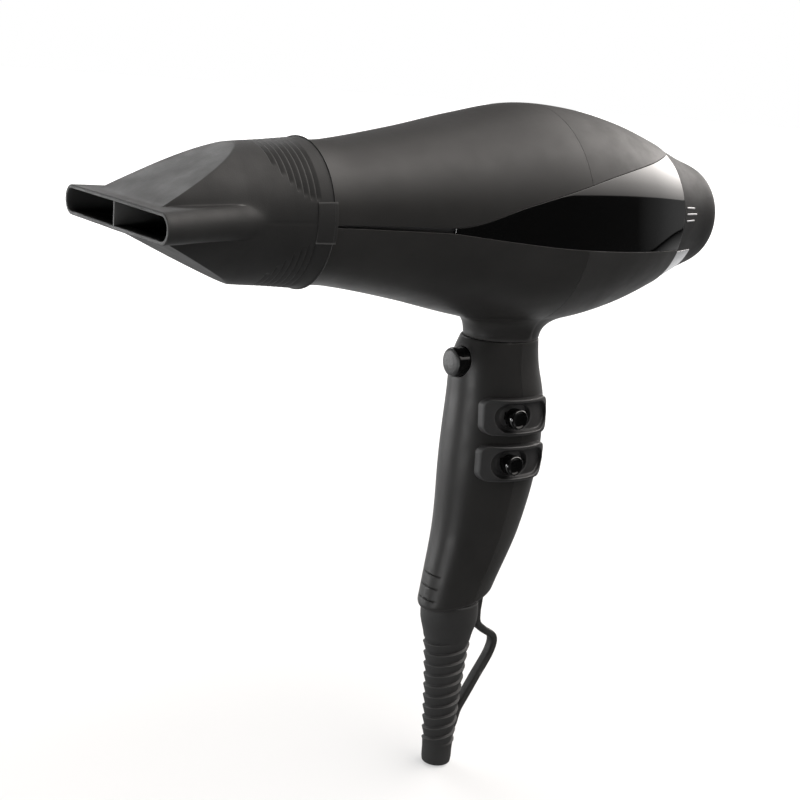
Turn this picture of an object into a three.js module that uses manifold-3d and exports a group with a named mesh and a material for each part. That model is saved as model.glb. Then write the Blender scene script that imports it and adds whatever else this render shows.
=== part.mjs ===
// A professional hair dryer: barrel, side-switch handle, slot nozzle, turning rear cap, and the heater,
// motor, fan and switches inside. Millimetres, +Z up. The barrel lies along Y with its outlet towards -Y,
// and the origin is on the barrel's axis above the middle of the handle. +X is the side with the switches.

import * as THREE from 'three';
import { mergeVertices } from 'three/addons/utils/BufferGeometryUtils.js';
import Module from 'manifold-3d';

const wasm = await Module();
wasm.setup();

// ---------------------------------------------------------------- driving dimensions

const GAP = 0.3; // between neighbouring pieces
const WALL = 2.2; // thickness of the housing
const FAR = 200; // reach of a cutting block past anything it cuts

const BODY_FRONT = -97.4; // where the tapered barrel meets the nozzle's rim
const BODY_REAR = 69.0; // rear edge of the housing
const SEAM_Y = 7.5; // ring seam between the front and rear housings
const BODY_RADII = [
  [BODY_FRONT, 26], [-86, 26.5], [-56, 32.1], [-26, 39],
  [-1, 43.4], [24, 42.4], [47.4, 38], [BODY_REAR, 31.3]];
const AXIS_DROP = 0.8; // the rear of the barrel runs this far below the front's axis
const DROP_START = -86;

const SPIGOT_FRONT = -115; // front end of the tube that the nozzle pushes onto
const SPIGOT_RADIUS = 22.6;
const SPIGOT_BORE = 21;

const MOUTH_Y = -167.5; // nozzle's slot
const MOUTH_HALF_WIDTH = 40.5;
const MOUTH_HALF_HEIGHT = 5.3;
const MOUTH_TAPER = 0.35; // the slot's half-width shrinks this much for each millimetre towards the rear
const NOZZLE_WALL = 1.4;
const COLLAR_RADII = [[-130, 24.7], [-113, 25.9], [-97.7, 27.3]];
const COLLAR_BORE = 24.4;
const COLLAR_TAB = { inner: 26.4, outer: 27.35, front: -98.2, rear: -96.7, halfHeight: 7.2 };
const TUBE_REAR = -122; // where the slot tube ends inside the collar
const DIVIDER = { halfThickness: 0.45, rear: -148 };
const FACET_FRONT = -162.1; // where a flat facet of the nozzle rises from the slot
const FACET_TOP = { y: -126.2, z: 24.6 }; // where it leaves the round collar

const CAP_FRONT_RADIUS = 30.6;
const CAP_CONE = 13.3; // length of the cap's straight cone
const CAP_CORNER_RADIUS = 25.7; // radius where the cone turns into the rounded rear edge
const CAP_REAR = 101;
const CAP_INTAKE_RADIUS = 15;
const CAP_MARKS = {
  front: 71.4, lengths: [7.6, 9.5, 7.4], degrees: [12.2, 7.1, 1.7], width: 0.65, thickness: 0.5,
};

const NECK = { y: 3.4, halfDepth: 16.2, halfWidth: 14.4, bottom: -49.85, frontFillet: 5, rearFillet: 11.5 };
const HANDLE_TOP = -50.15;
const HANDLE_END = -168; // the slanted underside cuts the handle above this
const HANDLE_CENTRES = [ // depth below the barrel's axis, y
  [48, 3.4], [60, 1.6], [75, 3.2], [100, 2.9], [130, -0.5], [155, -7.4], [168, -11]];
const HANDLE_HALF_DEPTHS = [
  [48, 16.2], [60, 18.9], [75, 21], [100, 21.8], [130, 19.1], [155, 15.9], [168, 14.6]];
const HANDLE_ROUNDNESS = 0.87; // half-width over half-depth
const BASE = { frontY: -25, frontZ: -165.1, rearY: 3.5, rearZ: -158.1 }; // slanted underside of the handle

const BUTTON = { z: -59.8, radius: 6, face: -21.5 };
const SWITCHES = [
  { name: 'speed', y: 1.7, z: -79.3 },
  { name: 'heat', y: 1.5, z: -98.4 },
];
const BEZEL = { length: 30.6, height: 14.7, corner: 3.5, rise: 3 };
const DISH = { length: 26.4, height: 12, rise: 1.2, offset: 1.4 }; // its floor stands this far off the handle
const KNOB = { radius: 4.15, base: 18.9, face: 24, y: -2.5, travel: 4.8 }; // at its front stop
const POCKET = { length: 14, height: 9.3 }; // the deep stadium that the knob slides in
const STEM_HALF = 1.6;

const RELIEF = { y: -10.3, bottom: -237, bore: 3.3, root: 9 };
const RELIEF_RADII = [
  [5, RELIEF.bottom], [6.1, -236.2], [6.4, -230], [7.9, -200],
  [9, -186], [10.1, -178], [12.2, -170], [13.4, -157]];
const LOOP_PATH = [ // y, z
  [5.1, -160], [4.6, -165], [4.2, -170.5], [5, -175.6], [9, -179.4],
  [14.6, -183.8], [13.6, -190.5], [7.2, -200.5], [2.4, -208], [-0.2, -213.5]];
const LOOP_HALF = { width: 2.4, depth: 1.6 };

// ---------------------------------------------------------------- solids and surfaces

// A closed geometry as a solid: shared vertices merged, collapsed triangles dropped, faces turned outwards
function solidOf(geometry) {
  geometry.deleteAttribute('normal');
  geometry.deleteAttribute('uv');
  const merged = mergeVertices(geometry);
  const points = merged.attributes.position.array;
  const corner = (i) => new THREE.Vector3().fromArray(points, 3 * i);
  const index = merged.index.array;
  const triangles = [];
  let volume = 0;
  for (let i = 0; i < index.length; i += 3) {
    const [a, b, c] = index.slice(i, i + 3);
    if (a === b || b === c || c === a) continue;
    triangles.push([a, b, c]);
    volume += corner(a).dot(corner(b).cross(corner(c)));
  }
  const outward = volume < 0 ? triangles.map(([a, b, c]) => [a, c, b]) : triangles;
  const triVerts = new Uint32Array(outward.flat());
  return new wasm.Manifold(new wasm.Mesh({ numProp: 3, vertProperties: new Float32Array(points), triVerts }));
}

function geometryOf(solid) {
  const { vertProperties, triVerts } = solid.getMesh();
  const geometry = new THREE.BufferGeometry();
  geometry.setAttribute('position', new THREE.BufferAttribute(vertProperties, 3));
  geometry.setIndex(new THREE.BufferAttribute(triVerts, 1));
  geometry.computeVertexNormals();
  return geometry;
}

// A smooth function through [position, value] pairs
function smoothCurve(pairs) {
  const curve = new THREE.CubicInterpolant(pairs.map((p) => p[0]), pairs.map((p) => p[1]), 1);
  return (at) => curve.evaluate(at)[0];
}

function steps(from, to, count) {
  return Array.from({ length: count + 1 }, (_, i) => from + ((to - from) * i) / count);
}

// An outline of [radius, height] points turned about Y, X or Z, then moved
function turned(outline, { segments = 24, axis = 'y', at = [0, 0, 0] } = {}) {
  const onAxis = outline[0][0] === 0 && outline.at(-1)[0] === 0;
  const points = outline.map(([radius, height]) => new THREE.Vector2(radius, height));
  if (!onAxis) points.push(points[0].clone());
  const geometry = new THREE.LatheGeometry(points, segments);
  if (axis === 'x') geometry.rotateZ(-Math.PI / 2);
  if (axis === 'z') geometry.rotateX(Math.PI / 2);
  return geometry.translate(...at);
}

function rod(radius, from, to, options) {
  return solidOf(turned([[0, from], [radius, from], [radius, to], [0, to]], options));
}

function ring(inner, outer, from, to, options) {
  return solidOf(turned([[inner, from], [outer, from], [outer, to], [inner, to]], options));
}

function block([x0, x1], [y0, y1], [z0, z1]) {
  const geometry = new THREE.BoxGeometry(x1 - x0, y1 - y0, z1 - z0);
  return solidOf(geometry.translate((x0 + x1) / 2, (y0 + y1) / 2, (z0 + z1) / 2));
}

// An outline in the side view (Y across, Z up) extruded along X
function sideExtrusion(shape, from, to, curveSegments = 8) {
  const geometry = new THREE.ExtrudeGeometry(shape, { depth: to - from, bevelEnabled: false, curveSegments });
  const sideView = new THREE.Matrix4().makeBasis(
    new THREE.Vector3(0, 1, 0), new THREE.Vector3(0, 0, 1), new THREE.Vector3(1, 0, 0));
  return solidOf(geometry.applyMatrix4(sideView).translate(from, 0, 0));
}

function polygon(points) {
  return new THREE.Shape(points.map(([u, v]) => new THREE.Vector2(u, v)));
}

function roundedRectangle(centreU, centreV, length, height, radius) {
  const u = length / 2 - radius;
  const v = height / 2 - radius;
  const shape = new THREE.Shape();
  shape.absarc(centreU + u, centreV + v, radius, 0, Math.PI / 2);
  shape.absarc(centreU - u, centreV + v, radius, Math.PI / 2, Math.PI);
  shape.absarc(centreU - u, centreV - v, radius, Math.PI, 1.5 * Math.PI);
  shape.absarc(centreU + u, centreV - v, radius, 1.5 * Math.PI, 2 * Math.PI);
  return shape;
}

// A closed body through rings: place(row, cos, sin) gives the point of a ring in one direction
function loft(rows, segments, place) {
  const geometry = new THREE.CylinderGeometry(1, 1, 1, segments, rows - 1);
  const position = geometry.attributes.position;
  for (let i = 0; i < position.count; i += 1) {
    const row = Math.round((position.getY(i) + 0.5) * (rows - 1));
    position.setXYZ(i, ...place(row, position.getX(i), position.getZ(i)));
  }
  return solidOf(geometry);
}

// A round or oval wire, strap or tube along a curve
function tube(curve, stepCount, halfWidth, halfDepth = halfWidth, sides = 8) {
  const section = new THREE.Shape(steps(0, 2 * Math.PI, sides).slice(0, -1)
    .map((angle) => new THREE.Vector2(halfWidth * Math.cos(angle), halfDepth * Math.sin(angle))));
  const options = { steps: stepCount, extrudePath: curve, bevelEnabled: false };
  return solidOf(new THREE.ExtrudeGeometry(section, options));
}

class Helix extends THREE.Curve {
  constructor(radius, turns, from, to, z = 0) {
    super();
    Object.assign(this, { radius, turns, from, to, z });
  }

  getPoint(t, target = new THREE.Vector3()) {
    const angle = 2 * Math.PI * this.turns * t;
    const y = this.from + (this.to - this.from) * t;
    return target.set(this.radius * Math.cos(angle), y, this.z + this.radius * Math.sin(angle));
  }
}

// ---------------------------------------------------------------- finishes and assembly

const BLACK = 0x1c1c1d;
const CHARCOAL = 0x262627;

const DARK_PLASTIC = 0x30302f;

const plastic = (color, roughness = 0.6) => (
  new THREE.MeshStandardMaterial({ color, roughness, metalness: 0 }));
const satinBody = () => plastic(CHARCOAL, 0.5);
const mattePlastic = () => plastic(BLACK, 0.8);
const glossPlastic = () => plastic(0x050505, 0.08);
const softRubber = () => plastic(0x1b1b1b, 0.75);
const mica = () => plastic(0xb9a179, 0.7);
const fibreBoard = () => plastic(0x1f4d2c, 0.6);
const metal = (color, roughness = 0.35) => new THREE.MeshStandardMaterial({ color, roughness, metalness: 1 });
const chrome = () => metal(0xd8d8da, 0.12);
const steel = () => metal(0x9b9b9d);
const brass = () => metal(0xb08d4a);

const dryer = new THREE.Group();

function addPart(name, solid, finish) {
  const mesh = new THREE.Mesh(geometryOf(solid), finish);
  mesh.name = name;
  dryer.add(mesh);
}

// ---------------------------------------------------------------- barrel housing

const bodyRadius = smoothCurve(BODY_RADII);
const BODY_SEGMENTS = 28;

function axisDrop(y) {
  return AXIS_DROP * THREE.MathUtils.smoothstep(y, DROP_START, 0);
}

function dropped(geometry) {
  const position = geometry.attributes.position;
  for (let i = 0; i < position.count; i += 1) {
    position.setZ(i, position.getZ(i) - axisDrop(position.getY(i)));
  }
  return geometry;
}

function bodySkin(inset, from, to, count) {
  return steps(from, to, count).map((y) => [bodyRadius(y) - inset, y]);
}

// The tapered barrel as one hollow shell, with the spigot at its front
function barrelShell() {
  const outside = solidOf(dropped(turned([
    [0, SPIGOT_FRONT], [SPIGOT_RADIUS, SPIGOT_FRONT], [SPIGOT_RADIUS, BODY_FRONT],
    ...bodySkin(0, BODY_FRONT, BODY_REAR, 10), [0, BODY_REAR]], { segments: BODY_SEGMENTS })));
  return outside.subtract(barrelHollow());
}

function barrelHollow() {
  const shoulder = BODY_FRONT + WALL;
  return solidOf(dropped(turned([
    [0, SPIGOT_FRONT - 1], [SPIGOT_BORE, SPIGOT_FRONT - 1], [SPIGOT_BORE, shoulder],
    ...bodySkin(WALL, shoulder + 2, BODY_REAR, 7), [bodyRadius(BODY_REAR) - WALL, BODY_REAR + 1],
    [0, BODY_REAR + 1]], { segments: BODY_SEGMENTS })));
}

// Height of the barrel's underside at a place in plan
function undersideZ(x, y) {
  return -Math.sqrt(bodyRadius(y) ** 2 - x ** 2) - axisDrop(y);
}

// The neck flares out of the handle and meets the barrel's underside at a tangent, wider at the rear
function neckFlare() {
  const rows = 4;
  const fillet = (cos) => THREE.MathUtils.lerp(NECK.frontFillet, NECK.rearFillet, (cos + 1) / 2);
  return loft(rows + 1, 20, (row, cos, sin) => {
    const x = NECK.halfWidth * sin;
    const y = NECK.y + NECK.halfDepth * cos;
    const spread = fillet(cos) / Math.hypot(NECK.halfWidth * sin, NECK.halfDepth * cos);
    const middle = row === 0 ? NECK.bottom : undersideZ(0, NECK.y) + WALL + 1;
    if (sin === 0 && cos === 0) return [0, NECK.y, middle];
    const outX = x * (1 + spread);
    const outY = NECK.y + (y - NECK.y) * (1 + spread);
    const foot = new THREE.Vector3(x, y, NECK.bottom);
    const corner = new THREE.Vector3(x, y, undersideZ(x, y));
    const rim = new THREE.Vector3(outX, outY, undersideZ(outX, outY) + 0.05);
    if (row === rows) return [outX, outY, rim.z + WALL + 1];
    const curve = new THREE.QuadraticBezierCurve3(foot, corner, rim);
    return curve.getPoint(row / (rows - 1)).toArray();
  });
}

function neckBore() {
  const top = -36; // inside the barrel's hollow
  const halfWidth = NECK.halfWidth - WALL;
  const halfDepth = NECK.halfDepth - WALL;
  return loft(2, 20, (row, cos, sin) => (
    [halfWidth * sin, NECK.y + halfDepth * cos, row === 0 ? NECK.bottom - 1 : top]));
}

// Side view of the split between the upper and lower shells: a groove in front, the gloss panel behind
const PANEL_TIP = -50.2;
const PANEL_REAR = 75; // past the housing's rear edge
const PANEL_TOP = [
  [PANEL_TIP, -1.2], [-40.3, 0.6], [-20.7, 7.6], [19.6, 18.3], [58.7, 24.6], [PANEL_REAR, 26.8]];
const PANEL_BOTTOM = [[PANEL_TIP, -3.2], [-8.1, -7.7], [34.9, -10.5], [PANEL_REAR, -12.1]];
const panelTopZ = smoothCurve(PANEL_TOP);
const panelBottomZ = smoothCurve(PANEL_BOTTOM);
const GROOVE_FRONT = { y: -120, top: -0.7, bottom: -1.2 };

function panelEdge(edgeZ, shift) {
  return steps(PANEL_TIP, PANEL_REAR, 7).map((y) => [y, edgeZ(y) + shift]);
}

function aboveSplit() {
  return polygon([[GROOVE_FRONT.y, GROOVE_FRONT.top], ...panelEdge(panelTopZ, 0),
    [PANEL_REAR, FAR], [GROOVE_FRONT.y, FAR]]);
}

function belowSplit() {
  return polygon([[GROOVE_FRONT.y, -FAR], [PANEL_REAR, -FAR], ...panelEdge(panelBottomZ, 0).reverse(),
    [GROOVE_FRONT.y, GROOVE_FRONT.bottom]]);
}

function panelOutline() {
  return polygon([...panelEdge(panelBottomZ, GAP), ...panelEdge(panelTopZ, -GAP).reverse()]);
}

function sidePanel(side) {
  const recess = 0.2;
  const thickness = 1.8;
  const skin = solidOf(dropped(turned([
    ...bodySkin(recess, PANEL_TIP + GAP, BODY_REAR, 7),
    ...bodySkin(recess + thickness, PANEL_TIP + GAP, BODY_REAR, 7).reverse()], { segments: BODY_SEGMENTS })));
  const [from, to] = side > 0 ? [5, 60] : [-60, -5];
  return skin.intersect(sideExtrusion(panelOutline(), from, to));
}

function addHousing() {
  const shell = barrelShell().add(neckFlare().subtract(barrelHollow())).subtract(neckBore());
  const front = block([-FAR, FAR], [-FAR, SEAM_Y - GAP / 2], [-FAR, FAR]);
  const rear = block([-FAR, FAR], [SEAM_Y + GAP / 2, FAR], [-FAR, FAR]);
  const upper = shell.intersect(sideExtrusion(aboveSplit(), -60, 60));
  const lower = shell.intersect(sideExtrusion(belowSplit(), -60, 60));
  addPart('front_upper_shell', upper.intersect(front), satinBody());
  addPart('front_lower_shell', lower.intersect(front), satinBody());
  addPart('rear_upper_shell', upper.intersect(rear), satinBody());
  addPart('rear_lower_shell', lower.intersect(rear), satinBody());
  addPart('side_panel_right', sidePanel(1), glossPlastic());
  addPart('side_panel_left', sidePanel(-1), glossPlastic());
}

// ---------------------------------------------------------------- nozzle

// Half-width of the slot tube at a place along the nozzle
function slotHalfWidth(y) {
  return MOUTH_HALF_WIDTH - MOUTH_TAPER * (y - MOUTH_Y);
}

function slotTube(inset, from, to) {
  const heightGain = 0.02; // the tube grows a little taller towards the rear
  return loft(2, 16, (row, cos, sin) => {
    const y = row === 0 ? from : to;
    const height = MOUTH_HALF_HEIGHT + heightGain * (y - MOUTH_Y) - inset;
    const straight = slotHalfWidth(y) - inset - height;
    return [sin * height + Math.sign(Math.round(sin * 1e6)) * straight, y, cos * height];
  });
}

// The round collar cut by the two flat facets that slope down to the slot
function facetedCone(inset) {
  const [front, middle, rim] = COLLAR_RADII;
  const cone = solidOf(turned([
    [0, MOUTH_Y - inset], [front[1] - inset, MOUTH_Y - inset], [front[1] - inset, front[0]],
    [middle[1] - inset, middle[0]], [rim[1] - inset, rim[0] + inset], [0, rim[0] + inset]],
  { segments: BODY_SEGMENTS }));
  const slope = (FACET_TOP.z - MOUTH_HALF_HEIGHT) / (FACET_TOP.y - FACET_FRONT);
  const mouth = MOUTH_HALF_HEIGHT - inset;
  const reach = BODY_FRONT + 7.4 - FACET_FRONT;
  const facets = polygon([[MOUTH_Y, -mouth], [MOUTH_Y, mouth], [FACET_FRONT, mouth],
    [FACET_FRONT + reach, mouth + slope * reach], [FACET_FRONT + reach, -mouth - slope * reach],
    [FACET_FRONT, -mouth]]);
  return cone.intersect(sideExtrusion(facets, -60, 60));
}

// A low tab on each side of the collar stands past its rim, where it locks to the barrel
function collarTabs() {
  const { inner, outer, front, rear, halfHeight } = COLLAR_TAB;
  const band = ring(inner, outer, front, rear, { segments: BODY_SEGMENTS });
  const sides = block([-40, -10], [front, rear], [-halfHeight, halfHeight])
    .add(block([10, 40], [front, rear], [-halfHeight, halfHeight]));
  return band.intersect(sides);
}

function nozzle() {
  const { halfThickness, rear } = DIVIDER;
  const outside = facetedCone(0).add(slotTube(0, MOUTH_Y, TUBE_REAR));
  const hollow = facetedCone(NOZZLE_WALL)
    .add(slotTube(NOZZLE_WALL, MOUTH_Y - 1, TUBE_REAR - NOZZLE_WALL))
    .add(rod(COLLAR_BORE, SPIGOT_FRONT - 1, SPIGOT_FRONT + 25, { segments: BODY_SEGMENTS }));
  const divider = outside.intersect(block([-halfThickness, halfThickness], [MOUTH_Y, rear], [-20, 20]));
  return outside.subtract(hollow).add(divider).add(collarTabs());
}

function addNozzle() {
  addPart('nozzle', nozzle(), mattePlastic());
  const snapRing = ring(SPIGOT_RADIUS + GAP, COLLAR_BORE - GAP, -112.5, -100, { segments: 20 });
  addPart('nozzle_snap_ring', snapRing, plastic(DARK_PLASTIC));
}

// ---------------------------------------------------------------- rear cap and filter

const CAP_FRONT = BODY_REAR + 0.35;
const CAP_SLEEVE = { inner: 27, outer: 28.5, front: 60 };
const CAP_WALL = 1.8;

// The rounded rear edge carries on the cone's slope and turns square to the axis at the intake
function roundedRear(inset) {
  const start = new THREE.Vector2(CAP_CORNER_RADIUS - inset, CAP_FRONT + CAP_CONE);
  const end = new THREE.Vector2(CAP_INTAKE_RADIUS, CAP_REAR - inset);
  const slopeEnd = start.clone().add(new THREE.Vector2(-4.3, 11.7 - inset / 2));
  const corner = new THREE.Vector2(CAP_INTAKE_RADIUS + 6.8 - inset, CAP_REAR - inset);
  return new THREE.CubicBezierCurve(start, slopeEnd, corner, end).getPoints(6).map((p) => p.toArray());
}

function capSolid(bottomStripCut) {
  const sleeve = CAP_SLEEVE;
  const shell = solidOf(turned([
    [sleeve.outer, sleeve.front], [sleeve.outer, CAP_FRONT], [CAP_FRONT_RADIUS, CAP_FRONT],
    ...roundedRear(0), ...roundedRear(CAP_WALL).reverse(),
    [sleeve.inner, CAP_FRONT + 4], [sleeve.inner, sleeve.front]],
  { segments: BODY_SEGMENTS, at: [0, 0, -AXIS_DROP] }));
  return shell.subtract(bottomStripCut).add(intakeGrille());
}

// Two rings and eight spokes across the intake at the back of the cap
function intakeGrille() {
  const at = [0, 0, -AXIS_DROP];
  const [from, to] = [98.2, CAP_REAR - 0.8];
  let grille = ring(13.4, CAP_INTAKE_RADIUS + 1.2, from, to, { at, segments: 20 })
    .add(ring(7.8, 9.2, from, to, { at, segments: 16 }))
    .add(rod(4, from, to, { at, segments: 10 }));
  for (const angle of steps(0, Math.PI, 4).slice(0, -1)) {
    const spoke = new THREE.BoxGeometry(2 * CAP_INTAKE_RADIUS - 1, to - from, 1.4);
    spoke.rotateY(angle).translate(0, (from + to) / 2, -AXIS_DROP);
    grille = grille.add(solidOf(spoke));
  }
  return grille;
}

// The bright strip fills a step in the cap's front edge, below the gloss panels
const STRIP_TOP_Z = -12.6;
const STRIP_LENGTH = 13;
const CONE_FALL = (CAP_FRONT_RADIUS - CAP_CORNER_RADIUS) / CAP_CONE; // radius lost for each millimetre of y

function capStrip(inset, thickness) {
  const [front, rear] = [CAP_FRONT - inset, CAP_FRONT + STRIP_LENGTH + inset];
  const outer = (y) => CAP_FRONT_RADIUS - CONE_FALL * (y - CAP_FRONT) + inset * 3;
  const band = solidOf(turned([
    [outer(front), front], [outer(rear), rear],
    [outer(rear) - thickness, rear], [outer(front) - thickness, front]],
  { segments: BODY_SEGMENTS, at: [0, 0, -AXIS_DROP] }));
  return band.intersect(block([-60, 60], [50, 90], [-60, STRIP_TOP_Z + inset]));
}

function addCap() {
  addPart('rear_cap', capSolid(capStrip(GAP, 2)), plastic(0x2e2e2f, 0.55));
  addPart('rear_trim_strip', capStrip(0, 0.8), chrome());
  addCapMarks();
  const at = [0, 0, -AXIS_DROP];
  const frame = ring(23.6, CAP_SLEEVE.inner - 2 * GAP, 61, 65, { at, segments: 20 });
  addPart('filter_frame', frame, plastic(DARK_PLASTIC));
  addPart('filter_mesh', filterMesh(), steel());
}

// Three bright bars lie along the cone, one above the other on the switch side
function addCapMarks() {
  const { front, lengths, degrees, width, thickness } = CAP_MARKS;
  lengths.forEach((length, i) => {
    const y = front + length / 2;
    const radius = CAP_FRONT_RADIUS - CONE_FALL * (y - CAP_FRONT) + thickness / 2 + 0.1;
    const mark = new THREE.BoxGeometry(thickness, length, width).rotateZ(Math.atan(CONE_FALL));
    mark.translate(radius, y, 0).rotateY(-THREE.MathUtils.degToRad(degrees[i]));
    addPart(`cap_mark_${i + 1}`, solidOf(mark.translate(0, 0, -AXIS_DROP)), chrome());
  });
}

function filterMesh() {
  const at = [0, 0, -AXIS_DROP];
  let mesh = rod(23.6 - 2 * GAP, 62.6, 63.4, { at, segments: 20 });
  const pitch = 8.4;
  for (let row = -2; row <= 2; row += 1) {
    for (let column = -2; column <= 2; column += 1) {
      const x = pitch * (column + (row % 2) / 2);
      const z = pitch * 0.87 * row;
      if (Math.hypot(x, z) > 19.5) continue;
      mesh = mesh.subtract(rod(3.4, 60, 66, { segments: 6, at: [x, 0, z - AXIS_DROP] }));
    }
  }
  return mesh;
}

// ---------------------------------------------------------------- handle

const handleCentre = smoothCurve(HANDLE_CENTRES);
const handleHalfDepth = smoothCurve(HANDLE_HALF_DEPTHS);
const HANDLE_LEVELS = [49.15, 56, 66, 80, 100, 120, 140, 155, 168];

function handleBody(offset, top, bottom, segments = 20) {
  const between = HANDLE_LEVELS.filter((depth) => depth > -top + 2 && depth < -bottom - 2);
  const levels = [-top, ...between, -bottom].reverse();
  return loft(levels.length, segments, (row, cos, sin) => {
    const depth = levels[row];
    const halfDepth = handleHalfDepth(depth);
    const halfWidth = halfDepth * HANDLE_ROUNDNESS;
    return [(halfWidth + offset) * sin, handleCentre(depth) + (halfDepth + offset) * cos, -depth];
  });
}

// Everything below the handle's slanted underside, moved down by drop
function belowBase(drop) {
  const slope = (BASE.rearZ - BASE.frontZ) / (BASE.rearY - BASE.frontY);
  const edge = (y) => BASE.frontZ + slope * (y - BASE.frontY) - drop;
  const half = 80;
  const below = -1.5 * FAR;
  const outline = polygon([[-half, below], [half, below], [half, edge(half)], [-half, edge(-half)]]);
  return sideExtrusion(outline, -half, half);
}

// The seam runs down the middle of the handle: everything on the front (-1) or the rear (1) side of it
function handleSide(direction) {
  const seam = steps(HANDLE_TOP + 1, HANDLE_END - 1, 12)
    .map((z) => [handleCentre(-z) + (direction * GAP) / 2, z]);
  const outside = [[direction * FAR, HANDLE_END - 1], [direction * FAR, HANDLE_TOP + 1]];
  return sideExtrusion(polygon([...seam, ...outside]), -60, 60);
}

// A stadium in the side view, through the switch side of the handle
function stadiumCut(y, z, length, height) {
  return sideExtrusion(roundedRectangle(y, z, length, height, height / 2 - 0.01), 4, 40, 4);
}

function knobMiddle() {
  return KNOB.y + KNOB.travel / 2;
}

function stemSlot(place) {
  const halfLength = KNOB.travel / 2 + STEM_HALF + GAP;
  const halfHeight = STEM_HALF + GAP;
  return block([6, 60], [knobMiddle() - halfLength, knobMiddle() + halfLength],
    [place.z - halfHeight, place.z + halfHeight]);
}

const HANDLE_SCREWS = [{ name: 'handle_screw_upper', z: -66 }, { name: 'handle_screw_lower', z: -138 }];

function handleShell() {
  let shell = handleBody(0, HANDLE_TOP, HANDLE_END).subtract(belowBase(0))
    .subtract(handleBody(-WALL, HANDLE_TOP + 1, -152))
    .subtract(rod(RELIEF.root + 0.4, -175, -145, { axis: 'z', at: [0, RELIEF.y, 0] }))
    .subtract(rod(BUTTON.radius + 0.4, -30, -6, { at: [0, 0, BUTTON.z] }));
  for (const place of SWITCHES) shell = shell.subtract(stemSlot(place));
  for (const { z } of HANDLE_SCREWS) {
    shell = shell.subtract(rod(3.2, 6, 40, { at: [0, 0, z], segments: 16 }));
  }
  return shell;
}

function screw(headRadius, shankRadius, tip, shoulder, head, options) {
  return solidOf(turned([[0, tip], [shankRadius, tip + 1], [shankRadius, shoulder], [headRadius, shoulder],
    [headRadius, head], [0, head]], { segments: 12, ...options }));
}

// A raised pad with a shallow dish, and a deep pocket through it that the knob slides in
function bezel(place) {
  const outline = roundedRectangle(place.y, place.z, BEZEL.length, BEZEL.height, BEZEL.corner);
  const offHandle = handleBody(GAP, -58, -122);
  const reach = sideExtrusion(outline, 4, 40, 4);
  const pad = handleBody(BEZEL.rise, -60, -120).subtract(offHandle).intersect(reach);
  const floor = handleBody(DISH.rise, -60, -120).subtract(offHandle).intersect(reach);
  const dish = stadiumCut(place.y + DISH.offset, place.z, DISH.length, DISH.height);
  const pocket = stadiumCut(knobMiddle(), place.z, POCKET.length, POCKET.height);
  return pad.subtract(dish).add(floor).subtract(pocket);
}

// A round knob on a square stem that reaches through the slot to the switch inside
function knob(place) {
  const { radius, base, face, y } = KNOB;
  const cap = solidOf(turned([[0, base], [radius, base], [radius, face - 0.6], [radius - 0.7, face],
    [0, face - 0.5]], { axis: 'x', at: [0, y, place.z], segments: 14 }));
  const half = STEM_HALF;
  return cap.add(block([12.3, base + 1], [y - half, y + half], [place.z - half, place.z + half]));
}

function addHandle() {
  const shell = handleShell();
  addPart('handle_front_shell', shell.intersect(handleSide(-1)), satinBody());
  addPart('handle_rear_cover', shell.intersect(handleSide(1)), satinBody());
  for (const { name, z } of HANDLE_SCREWS) {
    const skin = handleCentre(-z) + handleHalfDepth(-z);
    addPart(name, screw(2.8, 1.4, skin - 16, skin - 4.4, skin - 2.6, { at: [0, 0, z] }), steel());
  }
  for (const place of SWITCHES) {
    addPart(`${place.name}_bezel`, bezel(place), mattePlastic());
    addPart(`${place.name}_knob`, knob(place), glossPlastic());
    const middle = knobMiddle();
    const body = block([4, 12], [middle - 8, middle + 8], [place.z - 4.5, place.z + 4.5]);
    addPart(`${place.name}_switch`, body, plastic(DARK_PLASTIC));
  }
  addPart('control_board', block([1.6, 3.2], [-9, 9], [-108, -70]), fibreBoard());
}

function addCoolShot() {
  const { radius, face, z } = BUTTON;
  const flange = { front: -10.6, rear: -9.4 };
  const button = turned([[0, face], [radius - 1.2, face + 0.3], [radius, face + 1.3], [radius, flange.front],
    [radius + 1, flange.front], [radius + 1, flange.rear], [0, flange.rear]],
  { segments: 16, at: [0, 0, z] });
  addPart('cool_shot_button', solidOf(button), glossPlastic());
  addPart('cool_shot_spring', tube(new Helix(3, 3, -8.6, -5.2, z), 30, 0.4, 0.4, 4), steel());
  addPart('cool_shot_switch', block([-5, 5], [-4.3, 3], [z - 4, z + 4]), plastic(DARK_PLASTIC));
}

// ---------------------------------------------------------------- cord end

function strainRelief() {
  const { y, bottom, bore, root } = RELIEF;
  const at = [0, y, 0];
  const boot = solidOf(turned([[0, bottom], ...RELIEF_RADII, [0, RELIEF_RADII.at(-1)[1]]],
    { axis: 'z', at, segments: 16 })).intersect(belowBase(GAP));
  return boot.add(rod(root, -175, -153, { axis: 'z', at, segments: 16 }))
    .subtract(rod(bore, bottom - 3, -150, { axis: 'z', at, segments: 10 }));
}

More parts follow.
